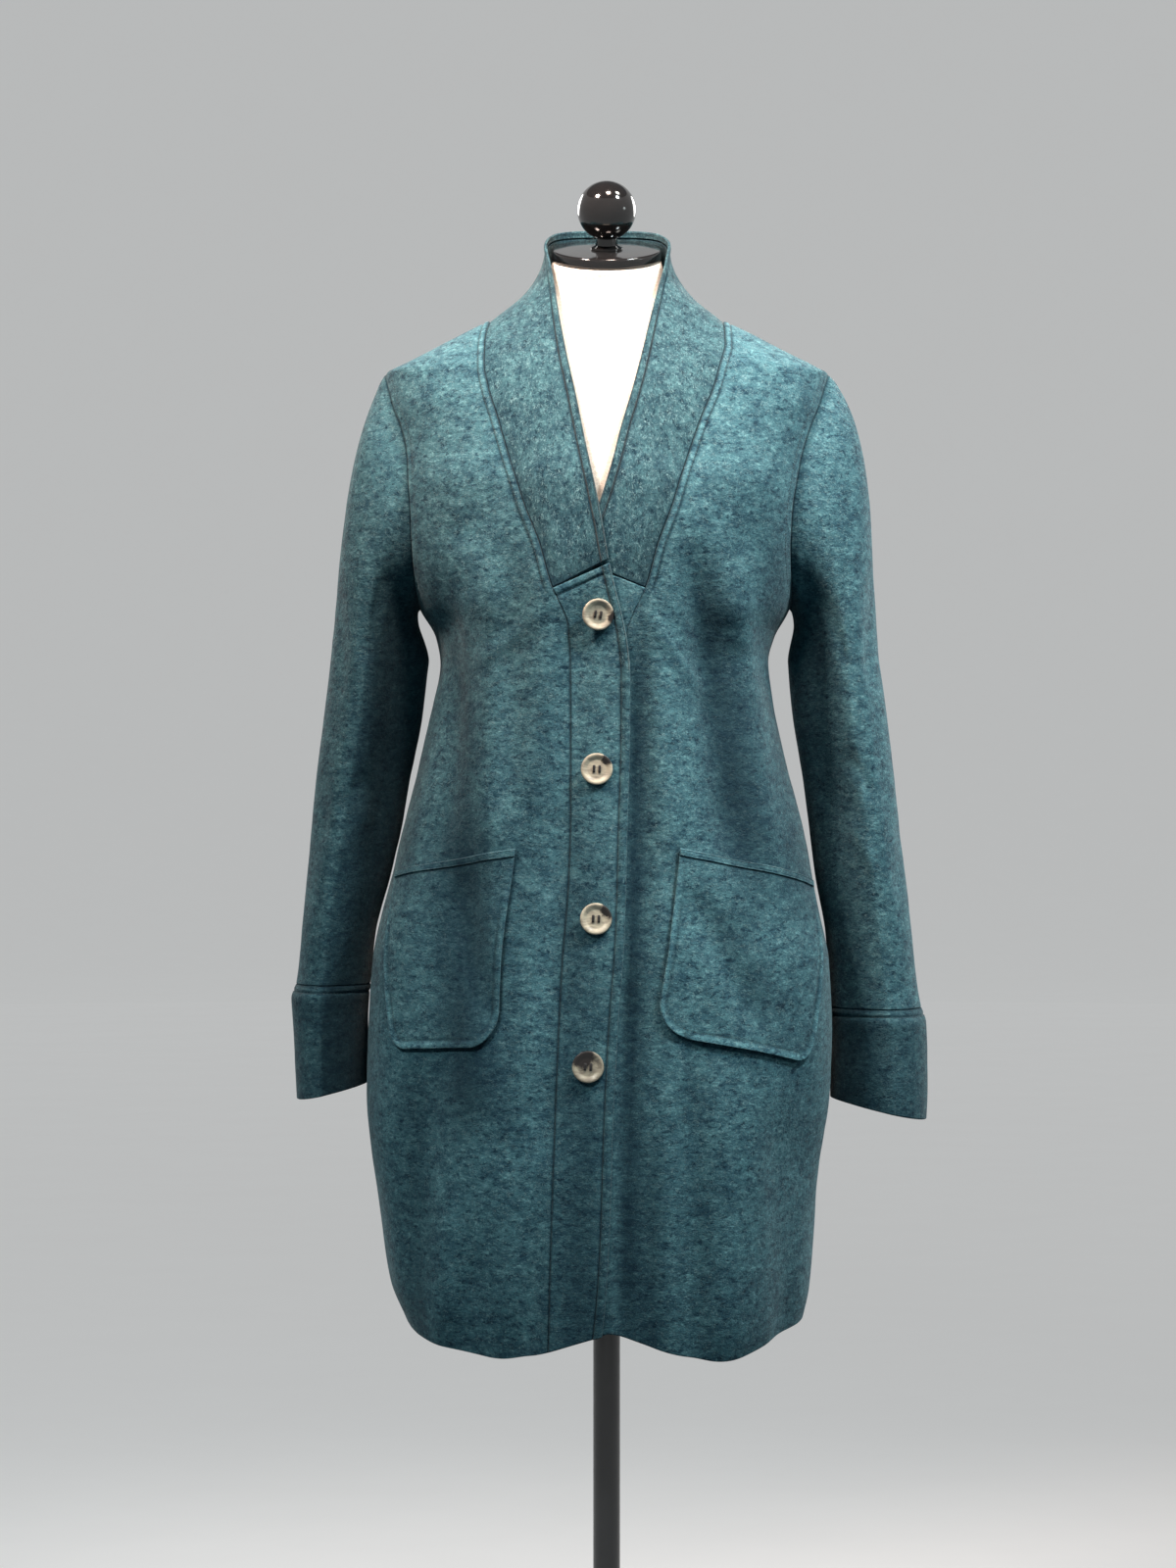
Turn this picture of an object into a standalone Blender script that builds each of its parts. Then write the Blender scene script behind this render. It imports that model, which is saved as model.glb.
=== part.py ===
"""A knee-length boiled-wool jacket with a shawl collar, buttoned on a limbless dress form.

Metres, +Z up. The jacket faces -Y, and "right" and "left" are the wearer's: the right is at -X.
The origin is on the floor, at the middle of the stand's base.

The body cloth lies on one reference surface, its outer face: flattened rings, one for each height
in BODY. A place on it is an angle and a height. The angle is 0 at the centre front, -90 degrees at
the right side seam, +90 at the left one and 180 at the centre back. The fronts, back, bands,
collar, pockets and buttons are all worked out on that surface and moved in or out along its normal.
"""

from math import cos, pi, radians, sin

import bmesh
import bpy
import numpy as np

# Cloth
WALL = 0.0024  # boiled wool
SEAM_GAP = 0.0003  # between two pieces, measured along the cloth
LAYER_GAP = 0.0008  # between a piece and the one that it lies on
LAP = WALL + LAYER_GAP  # how far the right front rides over the left one
ROUNDNESS = 2.3  # power of the flattened rings: 2 is an ellipse
BINDING = 0.008  # width of the folded edge along the neck and the front

# Heights
ARMPIT_Z = 1.150
SHOULDER_TIP_Z = 1.3677
SHOULDER_NECK_Z = 1.4165
SHOULDER_TIP_X = 0.2055
SHOULDER_NECK_X = 0.108
BACK_NECK_Z = 1.430
BICEP_Z = 1.100  # where the sleeve's cap has turned into its tube
FOLDS_FROM_Z = 0.600  # the skirt's folds keep their full depth below this
CHEST_FROM_Z = 1.080  # the panels' points follow level rings below this,
CHEST_FULL_Z = 1.200  # and straight lines across the chest above this
HEM_REACH = 0.25  # share of a panel's height in which its rows still follow the hem's curve

# Armhole: an egg on the body's side, narrower above
ARMHOLE_HALF_DEPTH = 0.070
ARMHOLE_EGG = 0.25
ARMHOLE_MIDDLE_Z = (SHOULDER_TIP_Z + ARMPIT_Z) / 2
ARMHOLE_HALF_HEIGHT = (SHOULDER_TIP_Z - ARMPIT_Z) / 2

# Head of the sleeve: how much of its way leads straight out at the shoulder, at its front and back
# and under the arm, its lean at the bicep and how far each end's direction is felt
CAP_OUT_TOP = {"right": 0.50, "left": 0.70}
CAP_OUT_MIDDLE = 0.95
CAP_OUT_UNDER = 0.85
CAP_LEAN = 0.11
CAP_START_PULL = 0.75
CAP_END_PULL = 0.90

# Button band of the right front, and the hidden one of the left front under it
BAND_TOP_SEAM_Z = 1.1616
BAND_TOP_EDGE_Z = 1.1838
UNDERLAP_X = -0.026
LAP_FROM_X = -0.095  # the right front starts to rise here,
LAP_FULL_X = -0.045  # and rides fully over the left one from here
LAP_FULL_Z = 1.24
LAP_TOP_Z = 1.33

BUTTON_RADIUS = 0.0142
BUTTON_HEIGHT = 0.0040
BUTTON_RIM = 0.0028

# Dress form
NECK_CENTRE_Y = 0.0094
NECK_TOP_Z = 1.4763
NECK_TILT = radians(19.9)
NECK_TILT_FROM_Z = 1.430
CAP_RADIUS = 0.0515
CAP_THICKNESS = 0.0100
BALL_RADIUS = 0.0273
BALL_HEIGHT = 0.0359  # of its middle, over the neck cap
POLE_RADIUS = 0.0125
BASE_RADIUS = 0.190
BASE_THICKNESS = 0.014
TOUCH = 0.0003

# Outer half-widths and depths of the jacket's body, from the floor up
BODY = (
    ("z", "right", "left", "front", "back"),
    (0.4700, 0.174, 0.171, 0.147, 0.148),
    (0.4970, 0.186, 0.182, 0.151, 0.152),
    (0.5290, 0.199, 0.188, 0.155, 0.157),
    (0.5830, 0.208, 0.192, 0.159, 0.162),
    (0.6430, 0.215, 0.195, 0.161, 0.164),
    (0.7150, 0.220, 0.202, 0.160, 0.163),
    (0.7670, 0.219, 0.205, 0.158, 0.160),
    (0.8270, 0.215, 0.203, 0.155, 0.154),
    (0.8660, 0.207, 0.194, 0.152, 0.148),
    (0.9130, 0.193, 0.184, 0.149, 0.140),
    (0.9630, 0.182, 0.175, 0.146, 0.130),
    (1.0150, 0.172, 0.164, 0.143, 0.121),
    (1.0650, 0.162, 0.153, 0.141, 0.115),
    (1.1000, 0.157, 0.149, 0.141, 0.114),
    (1.1230, 0.160, 0.155, 0.142, 0.116),
    (1.1500, 0.173, 0.170, 0.144, 0.118),
    (1.1750, 0.184, 0.176, 0.145, 0.120),
    (1.2100, 0.194, 0.182, 0.146, 0.122),
    (1.2550, 0.198, 0.188, 0.143, 0.123),
    (1.2900, 0.199, 0.194, 0.131, 0.121),
    (1.3150, 0.202, 0.199, 0.121, 0.118),
    (1.3380, 0.206, 0.204, 0.111, 0.114),
    (1.3677, 0.2055, 0.2055, 0.094, 0.106),
    (1.3710, 0.2000, 0.2000, 0.092, 0.105),
    (1.3795, 0.1835, 0.1835, 0.086, 0.101),
    (1.3890, 0.1648, 0.1648, 0.080, 0.097),
    (1.4070, 0.1300, 0.1300, 0.068, 0.090),
    (1.4165, 0.1080, 0.1080, 0.061, 0.085),
    (1.4250, 0.0880, 0.0880, 0.055, 0.081),
    (1.4400, 0.0720, 0.0720, 0.049, 0.077),
    (1.4600, 0.0640, 0.0640, 0.045, 0.072),
)

# Soft upright folds of the skirt: each fades out at its top
FOLDS = (
    ("angle", "spread", "depth", "top"),
    (-64, 12, 0.004, 0.78),
    (-37, 11, -0.006, 1.00),
    (-13, 9, 0.004, 0.98),
    (10, 6, -0.006, 1.08),
    (34, 12, 0.006, 1.00),
    (62, 10, -0.004, 0.80),
    (122, 11, 0.005, 0.82),
    (148, 11, -0.005, 0.95),
    (180, 12, 0.004, 0.90),
    (211, 11, -0.005, 0.93),
    (238, 11, 0.005, 0.80),
)

# The hem rises at the front edges and at the side seams
HEM = (
    ("angle", "z"),
    (0, 0.502),
    (8, 0.492),
    (20, 0.480),
    (31, 0.475),
    (45, 0.480),
    (62, 0.488),
    (90, 0.496),
    (120, 0.490),
    (150, 0.484),
    (180, 0.482),
)

# Where each front panel ends: at its band's seam below, and at the collar's seam above
FRONT_SEAM = (
    ("z", "right", "left"),
    (0.470, 0.0525, -0.014),
    (0.576, 0.0493, -0.007),
    (0.711, 0.0450, -0.002),
    (0.818, 0.0407, 0.004),
    (0.905, 0.0346, 0.008),
    (0.971, 0.0329, 0.010),
    (1.040, 0.0329, 0.012),
    (1.100, 0.0331, 0.012),
    (1.126, 0.0345, 0.018),
    (1.165, 0.0490, 0.035),
    (1.201, 0.0599, 0.045),
    (1.236, 0.0740, 0.058),
    (1.268, 0.0846, 0.068),
    (1.289, 0.0909, 0.075),
    (1.318, 0.0991, 0.085),
    (1.345, 0.1074, 0.096),
    (1.370, 0.1116, 0.103),
    (1.390, 0.1115, 0.108),
    (1.4165, 0.108, 0.108),
)

# Front edge of the right band, measured to the left of the middle
BAND_EDGE = (
    ("z", "x"),
    (0.470, -0.0080),
    (0.518, -0.0026),
    (0.576, 0.0009),
    (0.685, 0.0043),
    (0.772, 0.0087),
    (0.858, 0.0147),
    (0.945, 0.0173),
    (1.040, 0.0199),
    (1.084, 0.0199),
    (1.109, 0.0182),
    (1.134, 0.0139),
    (1.159, 0.0078),
    (1.184, 0.0017),
)

# Free edge of the collar, by the run of its seam from the centre back: the two half-widths, the
# place and height, how far its middle is drawn in to the neck, and how much of it lies on the chest
COLLAR = (
    ("run", "right", "left", "y", "z", "drawn", "lies"),
    (0.000, 0.0000, 0.0000, 0.066, 1.513, 0.002, 0.0),
    (0.050, 0.0300, 0.0300, 0.058, 1.511, 0.004, 0.0),
    (0.095, 0.0505, 0.0510, 0.034, 1.504, 0.009, 0.0),
    (0.147, 0.0575, 0.0590, 0.004, 1.490, 0.014, 0.0),
    (0.190, 0.0530, 0.0545, -0.022, 1.468, 0.011, 0.0),
    (0.217, 0.0485, 0.0480, -0.040, 1.446, 0.008, 0.0),
    (0.244, 0.0435, 0.0400, -0.063, 1.415, 0.004, 0.2),
    (0.274, 0.0365, 0.0310, -0.087, 1.377, 0.001, 0.7),
    (0.305, 0.0290, 0.0220, -0.108, 1.342, 0.000, 1.0),
    (0.337, 0.0220, 0.0115, -0.121, 1.306, 0.000, 1.0),
    (0.360, 0.0175, 0.0060, -0.130, 1.283, 0.000, 1.0),
    (0.395, 0.0100, -0.0040, -0.138, 1.248, 0.000, 1.0),
    (0.432, 0.0040, -0.0140, -0.142, 1.218, 0.000, 1.0),
    (0.480, -0.0018, -0.0220, -0.146, 1.1838, 0.000, 1.0),
)

# Outer size of each sleeve's tube and cuff: how far out its two edges are, its half-depth and its
# middle. The sleeves hang a little behind the side seams
SLEEVE = {
    "right": (
        ("z", "outer", "inner", "half_depth", "y"),
        (0.690, 0.2882, 0.2235, 0.053, 0.018),
        (0.740, 0.2905, 0.2230, 0.053, 0.017),
        (0.772, 0.2925, 0.2225, 0.053, 0.017),
        (0.790, 0.2938, 0.2215, 0.053, 0.016),
        (0.802, 0.2895, 0.2205, 0.050, 0.016),
        (0.850, 0.2845, 0.2155, 0.052, 0.014),
        (0.900, 0.2795, 0.2020, 0.054, 0.012),
        (0.950, 0.2745, 0.1900, 0.056, 0.010),
        (1.000, 0.2695, 0.1812, 0.058, 0.008),
        (1.050, 0.2630, 0.1710, 0.060, 0.006),
        (1.100, 0.2572, 0.1650, 0.061, 0.004),
    ),
    "left": (
        ("z", "outer", "inner", "half_depth", "y"),
        (0.670, 0.2975, 0.2090, 0.055, 0.018),
        (0.715, 0.2992, 0.2090, 0.055, 0.017),
        (0.745, 0.2988, 0.2100, 0.055, 0.017),
        (0.768, 0.2975, 0.2100, 0.055, 0.016),
        (0.780, 0.2930, 0.2095, 0.052, 0.016),
        (0.850, 0.2845, 0.2040, 0.053, 0.013),
        (0.900, 0.2785, 0.1945, 0.055, 0.011),
        (0.950, 0.2730, 0.1880, 0.057, 0.009),
        (1.000, 0.2670, 0.1815, 0.059, 0.007),
        (1.050, 0.2605, 0.1735, 0.060, 0.005),
        (1.100, 0.2530, 0.1690, 0.061, 0.004),
    ),
}
CUFF_SEAM_Z = {"right": 0.802, "left": 0.780}
CUFF_HEM_Z = {"right": 0.7015, "left": 0.6850}
CUFF_SLANT = 0.22  # the cuff's outer edge hangs lower than its inner one
RIDGE_SHIFT = 0.16  # the sleeve's front fold lies this share of its half-width out from its middle
LENS = 1.28  # over 1, the sleeve's ring comes to a soft edge at the front and back
SLEEVE_FOLD_FADE = 0.14

# Hollows of the sleeve, by the angle round it: 0 is outside, 90 front, 180 inside, 270 back
SLEEVE_FOLDS = (
    ("angle", "spread", "depth", "low", "high"),
    (132, 26, -0.006, 0.84, 1.27),
    (55, 24, -0.002, 0.86, 1.16),
    (235, 26, -0.005, 0.86, 1.26),
    (305, 24, -0.002, 0.90, 1.18),
)

# Patch pockets: the angle and height of each corner
POCKETS = {
    "right": (
        ("corner", "angle", "z"),
        ("inner_top", -21.5, 0.930),
        ("outer_top", -70.0, 0.907),
        ("outer_low", -56.0, 0.750),
        ("inner_low", -22.5, 0.756),
    ),
    "left": (
        ("corner", "angle", "z"),
        ("inner_top", 17.5, 0.931),
        ("outer_top", 73.0, 0.899),
        ("outer_low", 57.5, 0.737),
        ("inner_low", 9.0, 0.768),
    ),
}
POCKET_INNER_CORNER = 0.030
POCKET_OUTER_CORNER = 0.018
POCKET_WIDTH = 0.150
POCKET_HEIGHT = 0.165
POCKET_BINDING = 0.007

BUTTONS = (
    ("x", "z"),
    (-0.0087, 1.1384),
    (-0.0095, 1.0010),
    (-0.0104, 0.8687),
    (-0.0173, 0.7391),
)

# The dress form's torso and neck
FORM = (
    ("z", "half", "front", "back"),
    (0.6600, 0.138, 0.092, 0.104),
    (0.6670, 0.152, 0.106, 0.116),
    (0.7000, 0.165, 0.116, 0.124),
    (0.7600, 0.172, 0.120, 0.128),
    (0.8400, 0.166, 0.117, 0.121),
    (0.9200, 0.146, 0.108, 0.104),
    (1.0000, 0.127, 0.102, 0.090),
    (1.0400, 0.122, 0.102, 0.087),
    (1.1000, 0.128, 0.114, 0.092),
    (1.1600, 0.142, 0.131, 0.102),
    (1.2100, 0.154, 0.139, 0.109),
    (1.2500, 0.165, 0.136, 0.112),
    (1.2900, 0.176, 0.124, 0.112),
    (1.3150, 0.182, 0.1145, 0.110),
    (1.3380, 0.186, 0.1045, 0.107),
    (1.3550, 0.187, 0.0955, 0.102),
    (1.3670, 0.1845, 0.0855, 0.099),
    (1.3725, 0.1810, 0.0820, 0.097),
    (1.3795, 0.1725, 0.0775, 0.094),
    (1.3890, 0.1530, 0.0710, 0.088),
    (1.4070, 0.1165, 0.0585, 0.080),
    (1.4165, 0.0950, 0.0520, 0.075),
    (1.4250, 0.0785, 0.0475, 0.070),
    (1.4400, 0.0630, 0.0435, 0.065),
    (1.4550, 0.0565, 0.0415, 0.0615),
    (1.4763, 0.0505, 0.0400, 0.0588),
)

# Colours: base colour, roughness
WOOL = (0.065, 0.160, 0.185, 0.95)
WOOL_DARK = (0.035, 0.095, 0.115, 0.95)
HORN = (0.420, 0.360, 0.260, 0.35)
JERSEY = (0.720, 0.670, 0.580, 0.85)
GLOSS_BLACK = (0.012, 0.011, 0.011, 0.12)
STAND_BLACK = (0.020, 0.020, 0.021, 0.40)

SIGN = {"right": -1, "left": 1}


def column(table, name):
    """The values of one named column of a table."""
    place = table[0].index(name)
    return [row[place] for row in table[1:]]


def smooth(xs, ys):
    """A curve through the points (xs, ys) that doesn't overshoot between two of them."""
    xs, ys = np.array(xs, float), np.array(ys, float)
    step = np.diff(xs)
    slope = np.diff(ys) / step
    bend = np.concatenate([slope[:1], np.zeros(len(xs) - 2), slope[-1:]])
    for i in range(1, len(xs) - 1):
        if slope[i - 1] * slope[i] > 0:
            before, after = 2 * step[i] + step[i - 1], step[i] + 2 * step[i - 1]
            bend[i] = (before + after) / (before / slope[i - 1] + after / slope[i])

    def value(x):
        x = np.clip(x, xs[0], xs[-1])
        i = np.clip(np.searchsorted(xs, x, side="right") - 1, 0, len(step) - 1)
        t = (x - xs[i]) / step[i]
        level = ys[i] * (1 + 2 * t) * (1 - t) ** 2 + ys[i + 1] * t * t * (3 - 2 * t)
        return level + step[i] * t * (1 - t) * (bend[i] * (1 - t) - bend[i + 1] * t)

    return value


def curves(table, key):
    """One smooth curve for each column of the table, by the values of its key column."""
    return {
        name: smooth(column(table, key), column(table, name))
        for name in table[0]
        if name != key
    }


def ramp(low, high, x):
    """0 below low, 1 above high, and a soft rise between."""
    t = np.clip((x - low) / (high - low), 0, 1)
    return t * t * (3 - 2 * t)


def unit(vectors):
    return vectors / np.linalg.norm(vectors, axis=-1, keepdims=True)


def normals(surface, a, b, step_a=1e-3, step_b=1e-3):
    """Normals of surface(a, b) from two small steps, pointing along the cross product b x a."""
    along_a = surface(a + step_a, b) - surface(a - step_a, b)
    along_b = surface(a, b + step_b) - surface(a, b - step_b)
    return unit(np.cross(along_a, along_b))


BODY_AT = curves(BODY, "z")
HEM_AT = smooth(column(HEM, "angle"), column(HEM, "z"))
SEAM_AT = curves(FRONT_SEAM, "z")
EDGE_AT = smooth(column(BAND_EDGE, "z"), column(BAND_EDGE, "x"))
COLLAR_AT = curves(COLLAR, "run")
SLEEVE_AT = {side: curves(table, "z") for side, table in SLEEVE.items()}
FORM_AT = curves(FORM, "z")


def skirt_folds(angle, z):
    """How far the folds stand out at an angle, in radians, and a height."""
    out = 0
    for at, spread, depth, top in FOLDS[1:]:
        away = (np.degrees(angle) - at + 180) % 360 - 180
        out = out + depth * np.exp(-((away / spread) ** 2)) * (1 - ramp(FOLDS_FROM_Z, top, z))
    return out


def superellipse(angle, half, front, back):
    """A flattened ring: x and y for an angle from the front."""
    power = 2 / ROUNDNESS
    across, along = np.sin(angle), np.cos(angle)
    x = half * np.sign(across) * np.abs(across) ** power
    y = -np.where(along > 0, front, back) * np.sign(along) * np.abs(along) ** power
    return x, y


def body(angle, z):
    """The body's reference surface."""
    half = np.where(np.sin(angle) < 0, BODY_AT["right"](z), BODY_AT["left"](z))
    x, y = superellipse(angle, half, BODY_AT["front"](z), BODY_AT["back"](z))
    swell = 1 + skirt_folds(angle, z) / np.hypot(x, y)
    return np.stack([x * swell, y * swell, z + 0 * x], axis=-1)


def body_normals(angle, z):
    return normals(body, angle, z)


def front_angle(x, z):
    """The angle on the front at which the body is x from the middle."""
    half = np.where(x < 0, BODY_AT["right"](z), BODY_AT["left"](z))
    share = np.clip(np.abs(x) / half, 0, 1)
    return np.sign(x) * np.arcsin(share ** (ROUNDNESS / 2))


def lap(x, z):
    """How far the wearer's right front is raised where it goes over the left one."""
    return LAP * ramp(LAP_FROM_X, LAP_FULL_X, x) * (1 - ramp(LAP_FULL_Z, LAP_TOP_Z, z))


def armhole_angle(turn, face):
    """The angle on the body of a point of the armhole; turn is 0 at the shoulder, pi below."""
    half_depth = ARMHOLE_HALF_DEPTH * np.sin(turn) * (1 - ARMHOLE_EGG * np.cos(turn))
    depth = BODY_AT[face](armhole_z(turn))
    angle = np.arccos(np.clip(half_depth / depth, 0, 1) ** (ROUNDNESS / 2))
    return angle if face == "front" else pi - angle


def armhole_z(turn):
    return ARMHOLE_MIDDLE_Z + ARMHOLE_HALF_HEIGHT * np.cos(turn)


def armhole_turn(z):
    return np.arccos(np.clip((z - ARMHOLE_MIDDLE_Z) / ARMHOLE_HALF_HEIGHT, -1, 1))


def armhole(side, turn):
    """The armhole's loop: turn is 0 at the shoulder, 90 degrees in front, 180 at the armpit."""
    turn = turn % (2 * pi)
    ahead = turn <= pi
    up = np.where(ahead, turn, 2 * pi - turn)
    angle = np.where(ahead, armhole_angle(up, "front"), armhole_angle(up, "back"))
    return SIGN[side] * angle, armhole_z(up)


def tube(side, turn, z):
    """The sleeve below its cap, and the cuff."""
    at = SLEEVE_AT[side]
    outer, inner = at["outer"](z), at["inner"](z)
    half, middle = (outer - inner) / 2, (outer + inner) / 2
    across = np.sign(np.cos(turn)) * np.abs(np.cos(turn)) ** LENS
    ridge = RIDGE_SHIFT * half * np.sin(turn) ** 2
    x = middle + half * across + ridge
    y = at["y"](z) - at["half_depth"](z) * np.sin(turn)
    return np.stack([SIGN[side] * x, y, z + 0 * x], axis=-1)


def cap(side, turn, way):
    """The sleeve from the armhole, way 0, to the bicep, way 1, by one curve for each turn."""
    start = body(*armhole(side, turn))
    end = tube(side, turn, BICEP_Z + 0 * turn)
    reach = np.linalg.norm(end - start, axis=-1, keepdims=True)
    under = np.abs((turn + pi) % (2 * pi) - pi)
    out = CAP_OUT_TOP[side] + (CAP_OUT_MIDDLE - CAP_OUT_TOP[side]) * ramp(0, 1.2, under)
    out = out - (CAP_OUT_MIDDLE - CAP_OUT_UNDER) * ramp(2.2, pi, under)
    leave = np.stack([SIGN[side] * out, 0 * out, -np.sqrt(1 - out**2)], axis=-1)
    arrive = np.array([SIGN[side] * CAP_LEAN, 0.0, -1.0])
    way = np.asarray(way)[..., None]
    return (
        start * (1 + 2 * way) * (1 - way) ** 2
        + end * way**2 * (3 - 2 * way)
        + leave * reach * CAP_START_PULL * way * (1 - way) ** 2
        - arrive * reach * CAP_END_PULL * way**2 * (1 - way)
    )


def sleeve(side, turn, run):
    """The whole sleeve: run goes 0 to 1 over the cap, then to 2 at the cuff's seam."""
    fall = BICEP_Z - CUFF_SEAM_Z[side]
    z = BICEP_Z - fall * np.clip(run - 1, 0, 2)
    above = cap(side, turn, np.clip(run, 0, 1))
    below = tube(side, turn, z)
    points = np.where((run <= 1)[..., None], above, below)
    z = points[..., 2]
    middle = tube(side, turn, np.clip(z, 0, BICEP_Z)).mean(axis=-2, keepdims=True)
    outward = unit((points - middle) * (1, 1, 0))
    hollow = 0
    for at, spread, depth, low, high in SLEEVE_FOLDS[1:]:
        away = (np.degrees(turn) - at + 180) % 360 - 180
        here = ramp(low, low + SLEEVE_FOLD_FADE, z) * (1 - ramp(high - SLEEVE_FOLD_FADE, high, z))
        hollow = hollow + depth * np.exp(-((away / spread) ** 2)) * here * ramp(0, 0.5, run)
    return points + outward * hollow[..., None]


def sleeve_normals(side, turn, run):
    """Outward normals of the sleeve, level where it meets the cuff."""
    found = normals(lambda a, b: sleeve(side, a, b), turn, run, 1e-2, 1e-3)
    return found * SIGN[side]


def cuff(side, turn, down):
    """The cuff: down goes 0 at its seam to 1 at its hem, which slants."""
    z = CUFF_SEAM_Z[side] + (CUFF_HEM_Z[side] - CUFF_SEAM_Z[side]) * down
    points = tube(side, turn, z)
    middle = points[..., 0].mean(axis=-1, keepdims=True)
    points[..., 2] -= CUFF_SLANT * down * SIGN[side] * (points[..., 0] - middle)
    return points


def ring_normals(points):
    """Level normals of rings of points, one ring in each row."""
    along = np.roll(points, -1, axis=1) - np.roll(points, 1, axis=1)
    level = unit(np.cross(along, (0.0, 0.0, 1.0)))
    middle = points.mean(axis=1, keepdims=True)
    outside = ((points - middle) * level).sum(axis=-1, keepdims=True)
    return level * np.sign(outside)


def trim(grid, low=0, high=0, first=0, last=0):
    """The grid with its first and last rows, and its first and last columns, drawn back."""
    grid = grid.copy()
    for distance, edge, inner in ((low, 0, 1), (high, -1, -2)):
        grid[edge] += distance * unit(grid[inner] - grid[edge])
    for distance, edge, inner in ((first, 0, 1), (last, -1, -2)):
        grid[:, edge] += distance * unit(grid[:, inner] - grid[:, edge])
    return grid


# Rows of the body's panels, as shares of each column's height. One row is where the band meets
# the collar, one is at the armpit, and those above it meet the points of the sleeve's first ring
SIDE_HEM_Z = HEM_AT(90.0)
FRONT_HEM_Z = HEM_AT(7.0)
BAND_SHARE = (BAND_TOP_SEAM_Z - FRONT_HEM_Z) / (SHOULDER_NECK_Z - FRONT_HEM_Z)
ARMPIT_SHARE = (ARMPIT_Z - SIDE_HEM_Z) / (SHOULDER_TIP_Z - SIDE_HEM_Z)
SKIRT_ROWS = 13
SLEEVE_SIDES = 20


def panel_shares():
    turns = np.linspace(pi, 0, SLEEVE_SIDES // 2 + 1)
    yoke = ARMPIT_SHARE + (1 - ARMPIT_SHARE) * (1 + np.cos(turns)) / 2
    return np.concatenate([np.linspace(0, BAND_SHARE, SKIRT_ROWS + 1), yoke])


def outer_edge(side, share, face):
    """The side seam and the armhole of one panel: its angle and height at each share."""
    z = SIDE_HEM_Z + (SHOULDER_TIP_Z - SIDE_HEM_Z) * share
    angle = np.full_like(z, pi / 2)
    above = z > ARMPIT_Z + 1e-6
    angle[above] = armhole_angle(armhole_turn(z[above]), face)
    return SIGN[side] * angle, z


def inner_edge(side, share):
    """The front panel's seam with its band and with the collar."""
    z = FRONT_HEM_Z + (SHOULDER_NECK_Z - FRONT_HEM_Z) * share
    angle = front_angle(SIGN[side] * SEAM_AT[side](z), z)
    angle[share >= 1] = SIGN[side] * pi / 2
    return angle, z


def front_places(side, shares, across):
    """Angles and heights of a front panel's grid, a row for each share of its height."""
    in_angle, in_z = inner_edge(side, shares)
    out_angle, out_z = outer_edge(side, shares, "front")
    in_x, out_x = body(in_angle, in_z)[:, 0], body(out_angle, out_z)[:, 0]
    u, chest = across[None, :], ramp(CHEST_FROM_Z, CHEST_FULL_Z, out_z)[:, None]
    z = in_z[:, None] * (1 - u) + out_z[:, None] * u
    level = in_angle[:, None] * (1 - u) + out_angle[:, None] * u
    straight = front_angle(in_x[:, None] * (1 - u) + out_x[:, None] * u, z)
    angle = level * (1 - chest) + straight * chest
    angle[shares >= 1] = SIGN[side] * pi / 2
    angle[:, 0], angle[:, -1] = in_angle, out_angle
    hem = HEM_AT(np.abs(np.degrees(angle[:1]))) - z[:1]
    return angle, z + hem * (1 - ramp(0, HEM_REACH, shares))[:, None]


def back_places(shares, across):
    """Angles and heights of the back panel's grid: across goes from -1 to 1, right to left."""
    out_angle, out_z = outer_edge("left", shares, "back")
    width = np.abs(across)
    top = np.where(
        width <= SHOULDER_NECK_X / SHOULDER_TIP_X,
        back_neck_z(width * SHOULDER_TIP_X),
        np.interp(
            width * SHOULDER_TIP_X,
            (SHOULDER_NECK_X, SHOULDER_TIP_X),
            (SHOULDER_NECK_Z, SHOULDER_TIP_Z),
        ),
    )
    z = SIDE_HEM_Z + (top[None, :] - SIDE_HEM_Z) * shares[:, None]
    chest = ramp(CHEST_FROM_Z, CHEST_FULL_Z, out_z)[:, None]
    level = pi - (pi - out_angle[:, None]) * width[None, :]
    half = body(out_angle, out_z)[:, :1]
    spread = np.clip(half * width[None, :] / BODY_AT["left"](z), 0, 1)
    straight = pi - np.arcsin(spread ** (ROUNDNESS / 2))
    angle = level * (1 - chest) + straight * chest
    shoulder = width >= SHOULDER_NECK_X / SHOULDER_TIP_X - 1e-9
    angle[-1, shoulder] = pi / 2
    angle[:, [0, -1]] = out_angle[:, None]
    hem = HEM_AT(np.degrees(angle[:1])) - z[:1]
    z = z + hem * (1 - ramp(0, HEM_REACH, shares))[:, None]
    return angle * np.where(across < 0, -1, 1)[None, :], z


def back_neck_z(x):
    """Height of the back neckline's seam."""
    return BACK_NECK_Z - (BACK_NECK_Z - SHOULDER_NECK_Z) * (x / SHOULDER_NECK_X) ** 2


def back_neck_angle(x, z):
    spread = np.clip(x / BODY_AT["left"](z), 0, 1)
    return pi - np.arcsin(spread ** (ROUNDNESS / 2))


def seam_with_sleeve(side, angle, z, face):
    """Normals along a panel's outer edge: above the armpit they are shared with the sleeve."""
    own = body_normals(angle, z)
    above = (z > ARMPIT_Z - 1e-6) & (z < SHOULDER_TIP_Z + 1e-6)
    turn = armhole_turn(z[above])
    if face == "back":
        turn = 2 * pi - turn
    own[above] = unit(own[above] + sleeve_start_normals(side, turn))
    return own


def sleeve_start_normals(side, turn):
    """Normals of the sleeve's cap just beyond the armhole."""
    way = np.full_like(turn, 0.02)
    found = normals(lambda a, b: cap(side, a, b), turn, way, 1e-2, 1e-2)
    return found * SIGN[side]


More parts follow.
